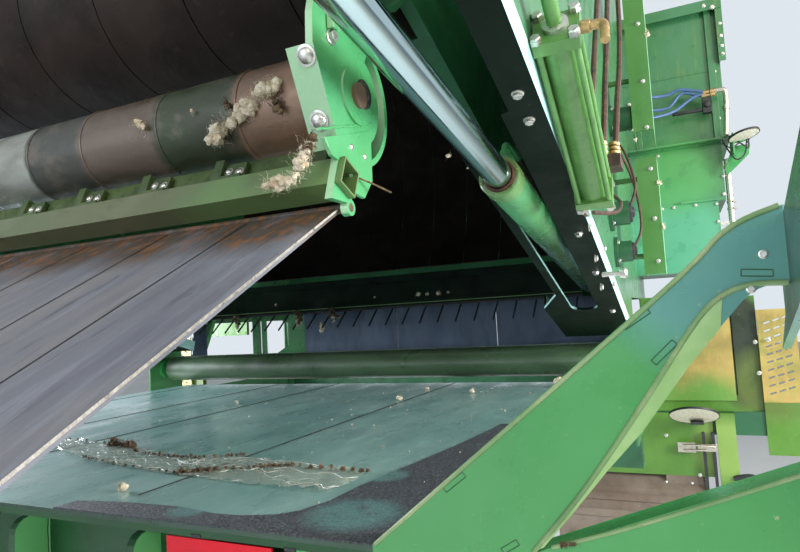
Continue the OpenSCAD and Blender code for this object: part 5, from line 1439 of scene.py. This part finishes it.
@dataclass
class SideGear:
    """Fasteners, hoses, fittings, wires and clamps on the walls, the guards and the side boxes."""

    # y of the boxes' rear faces and x of the wall's outer face
    rear: float = 0.298
    wall: float = 1.44

    def build(self) -> None:
        """Adds every group of the side gear."""
        self.fasteners()
        self.air_lines()
        self.lamp_gear()
        self.tension_gear()
        self.hubs()
        self.low_gear()
        self.lint()

    def fasteners(self) -> None:
        """Adds bolts on the boxes, the ribs, the guards and the lower panels."""
        bolts = Form()
        rear = self.rear
        # columns: y, size, then x and z of each bolt
        table = (
            (0.252, 0.010, ((1.903, 2.42),)), (0.252, 0.012, ((1.945, 2.40),)),
            (0.256, 0.009, [(1.975, z) for z in (2.172, 2.127, 2.23, 2.30)]),
            (rear + 0.012, 0.009, ((1.925, 1.454), (1.921, 1.352), (1.60, 1.62))),
            (rear, 0.008, ((1.659, 1.306), (1.773, 1.306), (1.879, 1.300), (1.60, 1.306), (1.50, 1.306),
                           (1.879, 1.20))),
            (rear, 0.010, ((1.47, 2.10), (1.47, 1.95), (1.47, 1.80), (2.001, 0.527), (2.063, 0.535),
                           (2.006, 0.360))),
            (rear, 0.009, ((1.93, 2.05), (1.93, 1.78))),
            (0.278, 0.009, ((1.675, -0.193), (1.52, 0.02), (1.70, 0.10))),
            (0.290, 0.009, ((1.50, 0.72), (1.70, 0.72), (1.85, 0.70), (1.55, 0.47))),
            (-0.90, 0.008, [(1.585, z) for z in (0.93, 1.10, 1.30, 1.47, 1.66, 1.90, 2.10, 2.21)]),
        )
        for y, size, places in table:
            for x, z in places:
                bolts.bolt((x, y, z), (0, -1, 0), size)
        bolts.pair("side_bolts", ZINC_PLATE, "bright_steel")
        seams = Form()
        for x0, x1, z in ((1.446, 1.885, 1.318), (1.446, 1.925, 1.648), (1.446, 1.955, 2.06)):
            seams.block((x0, rear - 0.002, z - 0.004), (x1, rear + 0.03, z + 0.004))
        seams.block((1.90, rear - 0.014, 1.668), (1.935, rear + 0.004, 2.435))
        seams.block((1.50, rear - 0.010, 1.668), (1.525, rear + 0.004, 2.435))
        seams.block((1.55, rear - 0.010, 1.00), (1.575, rear + 0.004, 1.30))
        seams.pair("box_joints", SHEET_COAT, "green_paint", bevel_mm=1.5)

    def air_lines(self) -> None:
        """Adds the blue air hoses with their fittings, the elbow pipe and the valve beside the upper box."""
        blue = Form()
        for route in (
                [(1.56, 0.16, 1.93), (1.666, 0.20, 1.932), (1.745, 0.20, 1.950), (1.859, 0.20, 1.915)],
                [(1.56, 0.18, 1.86), (1.676, 0.21, 1.862), (1.75, 0.21, 1.93), (1.827, 0.21, 1.905),
                 (1.86, 0.21, 1.895)],
                [(1.58, 0.14, 1.80), (1.70, 0.19, 1.83), (1.80, 0.20, 1.89), (1.86, 0.20, 1.905)]):
            blue.tube(route, 0.0085, 10, 8)
        blue.pair("air_hoses", BLUE_HOSE, "hose_rubber")
        brass = Form()
        for z in (1.912, 1.895):
            brass.turned((1.850, 0.205, z), (1, 0, 0),
                         ((0, 0.012), (0.018, 0.012), (0.020, 0.009), (0.040, 0.009)), 6)
            brass.turned((1.893, 0.205, z), (1, 0, 0), ((0, 0.013), (0.022, 0.013), (0.024, 0.010)), 16)
        brass.pair("air_fittings", BRASS_FITTING, "bright_steel")
        valve = Form()
        valve.block((1.85, 0.21, 1.80), (1.895, 0.25, 1.885))
        valve.turned((1.872, 0.21, 1.845), (0, -1, 0), ((0, 0.016), (0.012, 0.016), (0.014, 0.012)), 20)
        valve.block((1.695, 0.215, 1.815), (1.85, 0.235, 1.832))
        valve.pair("air_valve", BLACK_MOULDING, "hose_rubber", bevel_mm=2.0)
        pipe = Form()
        pipe.tube([(1.905, 0.21, 1.910), (1.945, 0.21, 1.912), (1.966, 0.21, 1.895), (1.962, 0.212, 1.78),
                   (1.952, 0.215, 1.66)], 0.013, 14, 6)
        pipe.turned((1.963, 0.2115, 1.80), (0, 0, 1), ((0, 0.018), (0.02, 0.018)), 18)
        pipe.pair("elbow_pipe", SATIN_STAINLESS, "bright_steel")

    def lamp_gear(self) -> None:
        """Adds the lamps, the upper one's bracket and wires, and the drain pipe's clamps."""
        lens = Form()
        body = Form()
        # columns: centre, radius, lean down and roll in degrees
        for centre, radius, lean, roll in (
                ((2.029, 0.165, 1.633), 0.077, 82, -12), ((1.670, 0.180, 0.151), 0.1255, 62, 0)):
            down = Matrix.Rotation(math.radians(90 + lean), 3, "X")
            axis = Matrix.Rotation(math.radians(roll), 3, "Y") @ down @ Vector((0, 0, 1))
            lens.turned(centre, axis, ((-0.004, radius - 0.004), (0.006, radius - 0.004),
                                       (0.009, radius * 0.6), (0.010, radius * 0.1)), 48)
            body.turned(centre, axis, (
                (0.002, radius - 0.0045), (0.007, radius - 0.0035), (0.007, radius), (-0.004, radius),
                (-0.018, radius * 0.5), (-0.019, radius * 0.1)), 48)
        body.block((1.650, 0.185, 0.098), (1.715, 0.235, 0.112))
        body.block((1.662, 0.225, 0.100), (1.678, 0.317, 0.130))
        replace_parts(lens.pair("lamp_lenses", LAMP_LENS, "lamp_lens"), "work_lamps")
        body.pair("lamp_bodies", BLACK_MOULDING, "hose_rubber")
        bracket = Form()
        bracket.prism(((1.93, 1.475), (1.945, 1.445), (2.055, 1.545), (2.062, 1.60), (1.98, 1.60)),
                      (0.250, 0.256), 1)
        bracket.block((1.9753, 0.185, 1.545), (1.983, 0.36, 1.66))
        bracket.block((1.983, 0.205, 1.606), (2.03, 0.215, 1.622))
        bracket.pair("lamp_bracket", GREEN_COAT, "green_paint", bevel_mm=1.0)
        wires = Form()
        # columns: radius, route
        for radius, route in (
                (0.004, [(1.93, 0.23, 1.64), (1.96, 0.21, 1.56), (1.99, 0.205, 1.515), (2.03, 0.21, 1.54),
                         (2.045, 0.22, 1.61), (2.04, 0.24, 1.655)]),
                (0.0035, [(1.93, 0.23, 1.62), (1.97, 0.20, 1.58), (2.01, 0.20, 1.60), (2.05, 0.21, 1.57),
                          (2.055, 0.23, 1.63)]),
                (0.003, [(1.95, 0.22, 1.66), (1.99, 0.20, 1.63), (2.03, 0.205, 1.585), (2.06, 0.22, 1.62)])):
            wires.tube(route, radius, 8, 8)
        wires.pair("lamp_wires", BLACK_MOULDING, "hose_rubber")
        clamps = Form()
        for z in (1.262, 1.300, 1.50):
            clamps.turned((1.952, 0.33, z), (0, 0, 1), ((0, 0.020), (0.013, 0.020)), 24)
            clamps.block((1.962, 0.302, z), (1.976, 0.318, z + 0.013))
        clamps.pair("pipe_clamps", SATIN_STAINLESS, "bright_steel")

    def tension_gear(self) -> None:
        """Adds caps, nuts and fittings to the tie-rod cylinders, and crimps and clamps to their hoses."""
        low_end, top_end = Vector((1.485, -2.000, 1.040)), Vector((1.485, -2.380, 1.260))
        along = (top_end - low_end).normalized()
        above = Vector((0, -along.z, along.y))
        nuts = Form()
        half_pitch = 0.034
        for offset in (Vector((x, 0, 0)) + above * lift for x in (-half_pitch, half_pitch)
                       for lift in (-half_pitch, half_pitch)):
            nuts.turned(top_end + offset + along * 0.024, along,
                        ((0, 0.0115), (0.012, 0.0115), (0.014, 0.009)), 6)
            nuts.turned(low_end + offset - along * 0.020, -along, ((0, 0.0115), (0.012, 0.0115)), 6)
        nuts.turned(top_end + along * 0.022, along, ((0, 0.024), (0.012, 0.024), (0.014, 0.018)), 28)
        nuts.pair("tie_rod_nuts", ZINC_PLATE, "bright_steel")
        brass = Form()
        port = top_end + Vector((0.042, 0, 0)) + along * 0.010
        brass.turned(port, (1, 0, 0), ((0, 0.012), (0.016, 0.012), (0.018, 0.009), (0.030, 0.009)), 6)
        brass.tube([port + Vector((0.028, 0, 0)), port + Vector((0.040, 0, 0)) + above * 0.006,
                    port + Vector((0.042, 0, 0)) + above * 0.05], 0.0085, 12, 6)
        brass.pair("port_elbow", BRASS_FITTING, "bright_steel")
        crimps = Form()
        # columns: x, y, z of each crimped end above the manifold plate
        for x, y, z in ((1.470, -1.920, 1.135), (1.500, -1.890, 1.135), (1.528, -1.860, 1.135)):
            for k in range(4):
                crimps.turned((x, y, z + 0.004 + 0.011 * k), (0.1, 0.18, 1), (
                    (0, 0.0135), (0.002, 0.0145), (0.008, 0.0145), (0.010, 0.0125)), 18)
            crimps.turned((x, y, z - 0.002), (0, 0, 1), ((0, 0.016), (0.010, 0.016)), 6)
        crimps.pair("hose_crimps", BRASS_FITTING, "bright_steel")
        plate = Form()
        plate.block((1.441, -1.925, 1.000), (1.452, -1.845, 1.105))
        for z in (1.02, 1.085):
            plate.bolt((1.452, -1.885, z), (1, 0, 0), 0.010)
        plate.pair("slotted_plate", SATIN_STAINLESS, "bright_steel", bevel_mm=1.0)

    def hubs(self) -> None:
        """Adds bolt rings, covers and grease lines to the bearing units on the wall."""
        covers = Form()
        bolts = Form()
        # columns: y, z, flange radius, housing radius, reach
        for y, z, flange, housing, reach in (
                (-1.150, 1.100, 0.062, 0.044, 0.070), (-1.040, 0.968, 0.058, 0.040, 0.062),
                (-0.830, 1.540, 0.066, 0.050, 0.088)):
            covers.turned((self.wall + reach, y, z), (1, 0, 0), (
                (0, housing - 0.006), (0.008, housing - 0.008), (0.010, housing - 0.018),
                (0.006, housing - 0.022), (0.016, housing * 0.4), (0.018, housing * 0.2)), 32)
            circle = flange - 0.010
            for angle in (FULL_TURN * (i + 0.5) / 4 for i in range(4)):
                place = (1.454, y + math.cos(angle) * circle, z + math.sin(angle) * circle)
                bolts.bolt(place, (1, 0, 0), 0.008)
        covers.pair("bearing_covers", BLACK_MOULDING, "hose_rubber")
        # columns: y, z
        places = ((-1.78, 0.98), (-1.70, 0.90), (-1.62, 0.82), (-1.45, 0.95), (-1.35, 1.20), (-1.50, 1.30),
                  (-1.25, 0.84))
        for y, z in places:
            bolts.bolt((self.wall, y, z), (1, 0, 0), 0.010)
        knob = ((0, 0.008), (0.05, 0.008), (0.052, 0.016), (0.068, 0.018), (0.074, 0.010))
        bolts.turned((self.wall, -1.55, 0.86), (1, 0, 0), knob, 20)
        bolts.pair("wall_bolts", ZINC_PLATE, "bright_steel")
        lines = Form()
        for radius, route in (
                (0.005, [(1.50, -1.150, 1.100), (1.535, -1.12, 1.20), (1.50, -1.00, 1.36),
                         (1.455, -0.86, 1.45)]),
                (0.005, [(1.50, -1.040, 0.968), (1.54, -1.02, 1.06), (1.52, -0.95, 1.25),
                         (1.46, -0.90, 1.43)]),
                (0.006, [(1.455, -1.78, 1.02), (1.50, -1.60, 1.04), (1.50, -1.40, 1.10),
                         (1.46, -1.22, 1.16)])):
            lines.tube(route, radius, 8, 8)
        lines.pair("grease_lines", HOSE_COVER, "hose_rubber")

    def low_gear(self) -> None:
        """Adds the seals with the hose beside them, the latch and the mudguard's bolts."""
        seals = Form()
        for x in (1.700, 1.748):
            seals.block((x, 0.283, -0.33), (x + 0.016, 0.300, 0.04))
        hose = [(1.84, 0.29, -0.205), (1.92, 0.285, -0.19), (2.00, 0.285, -0.215), (2.10, 0.29, -0.21)]
        seals.tube(hose, 0.014, 12, 8)
        seals.pair("panel_seals", BLACK_MOULDING, "hose_rubber", bevel_mm=1.0)
        latch = Form()
        latch.block((1.575, 0.270, -0.070), (1.665, 0.276, -0.016))
        latch.block((1.676, 0.270, -0.062), (1.772, 0.276, -0.022))
        upper = [(1.60, 0.262, -0.03), (1.66, 0.258, -0.028), (1.72, 0.258, -0.030), (1.765, 0.262, -0.034)]
        latch.tube(upper, 0.005, 8, 6)
        latch.tube([(1.60, 0.262, -0.056), (1.66, 0.258, -0.056), (1.72, 0.262, -0.052)], 0.004, 8, 6)
        for x in (1.590, 1.650, 1.690, 1.760):
            latch.bolt((x, 0.270, -0.043), (0, -1, 0), 0.006)
        latch.pair("panel_latch", SATIN_STAINLESS, "bright_steel", bevel_mm=0.6)
        guard = Form()
        for x in (1.50, 1.63):
            guard.bolt((x, 0.262, -0.235), (0, -0.6, 0.8), 0.008)
        guard.pair("mudguard_bolts", ZINC_PLATE, "bright_steel")

    def lint(self) -> None:
        """Adds lint caught on the guards' edges and along the wall's foot."""
        rows = [([(x, -0.898, z), (x, -0.898, z - size)], size, int(z * 1000), 6, 80) for x, z, size in (
            (1.614, 1.86, 0.012), (1.614, 1.245, 0.011), (1.614, 1.07, 0.009), (1.538, 1.43, 0.006))]
        rows.append(([(1.46, -1.86, 1.24), (1.47, -1.85, 1.22)], 0.012, 91, 8, 80))
        tufts(rows).pair("guard_lint", COTTON_LINT, "green_paint")


def main() -> None:
    """Builds the studio and every sub-assembly's pieces in order."""
    logging.basicConfig(level=logging.INFO, format="%(message)s")
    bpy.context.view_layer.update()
    for part in (Studio(), PackedParts(), Deck(), Apron(), TailGear(), Frames(), GateCylinders(), RearBeam(),
                 Outriggers(), SideGear()):
        part.build()
        log.info("%s done", type(part).__name__)


if __name__ == "__main__":
    main()
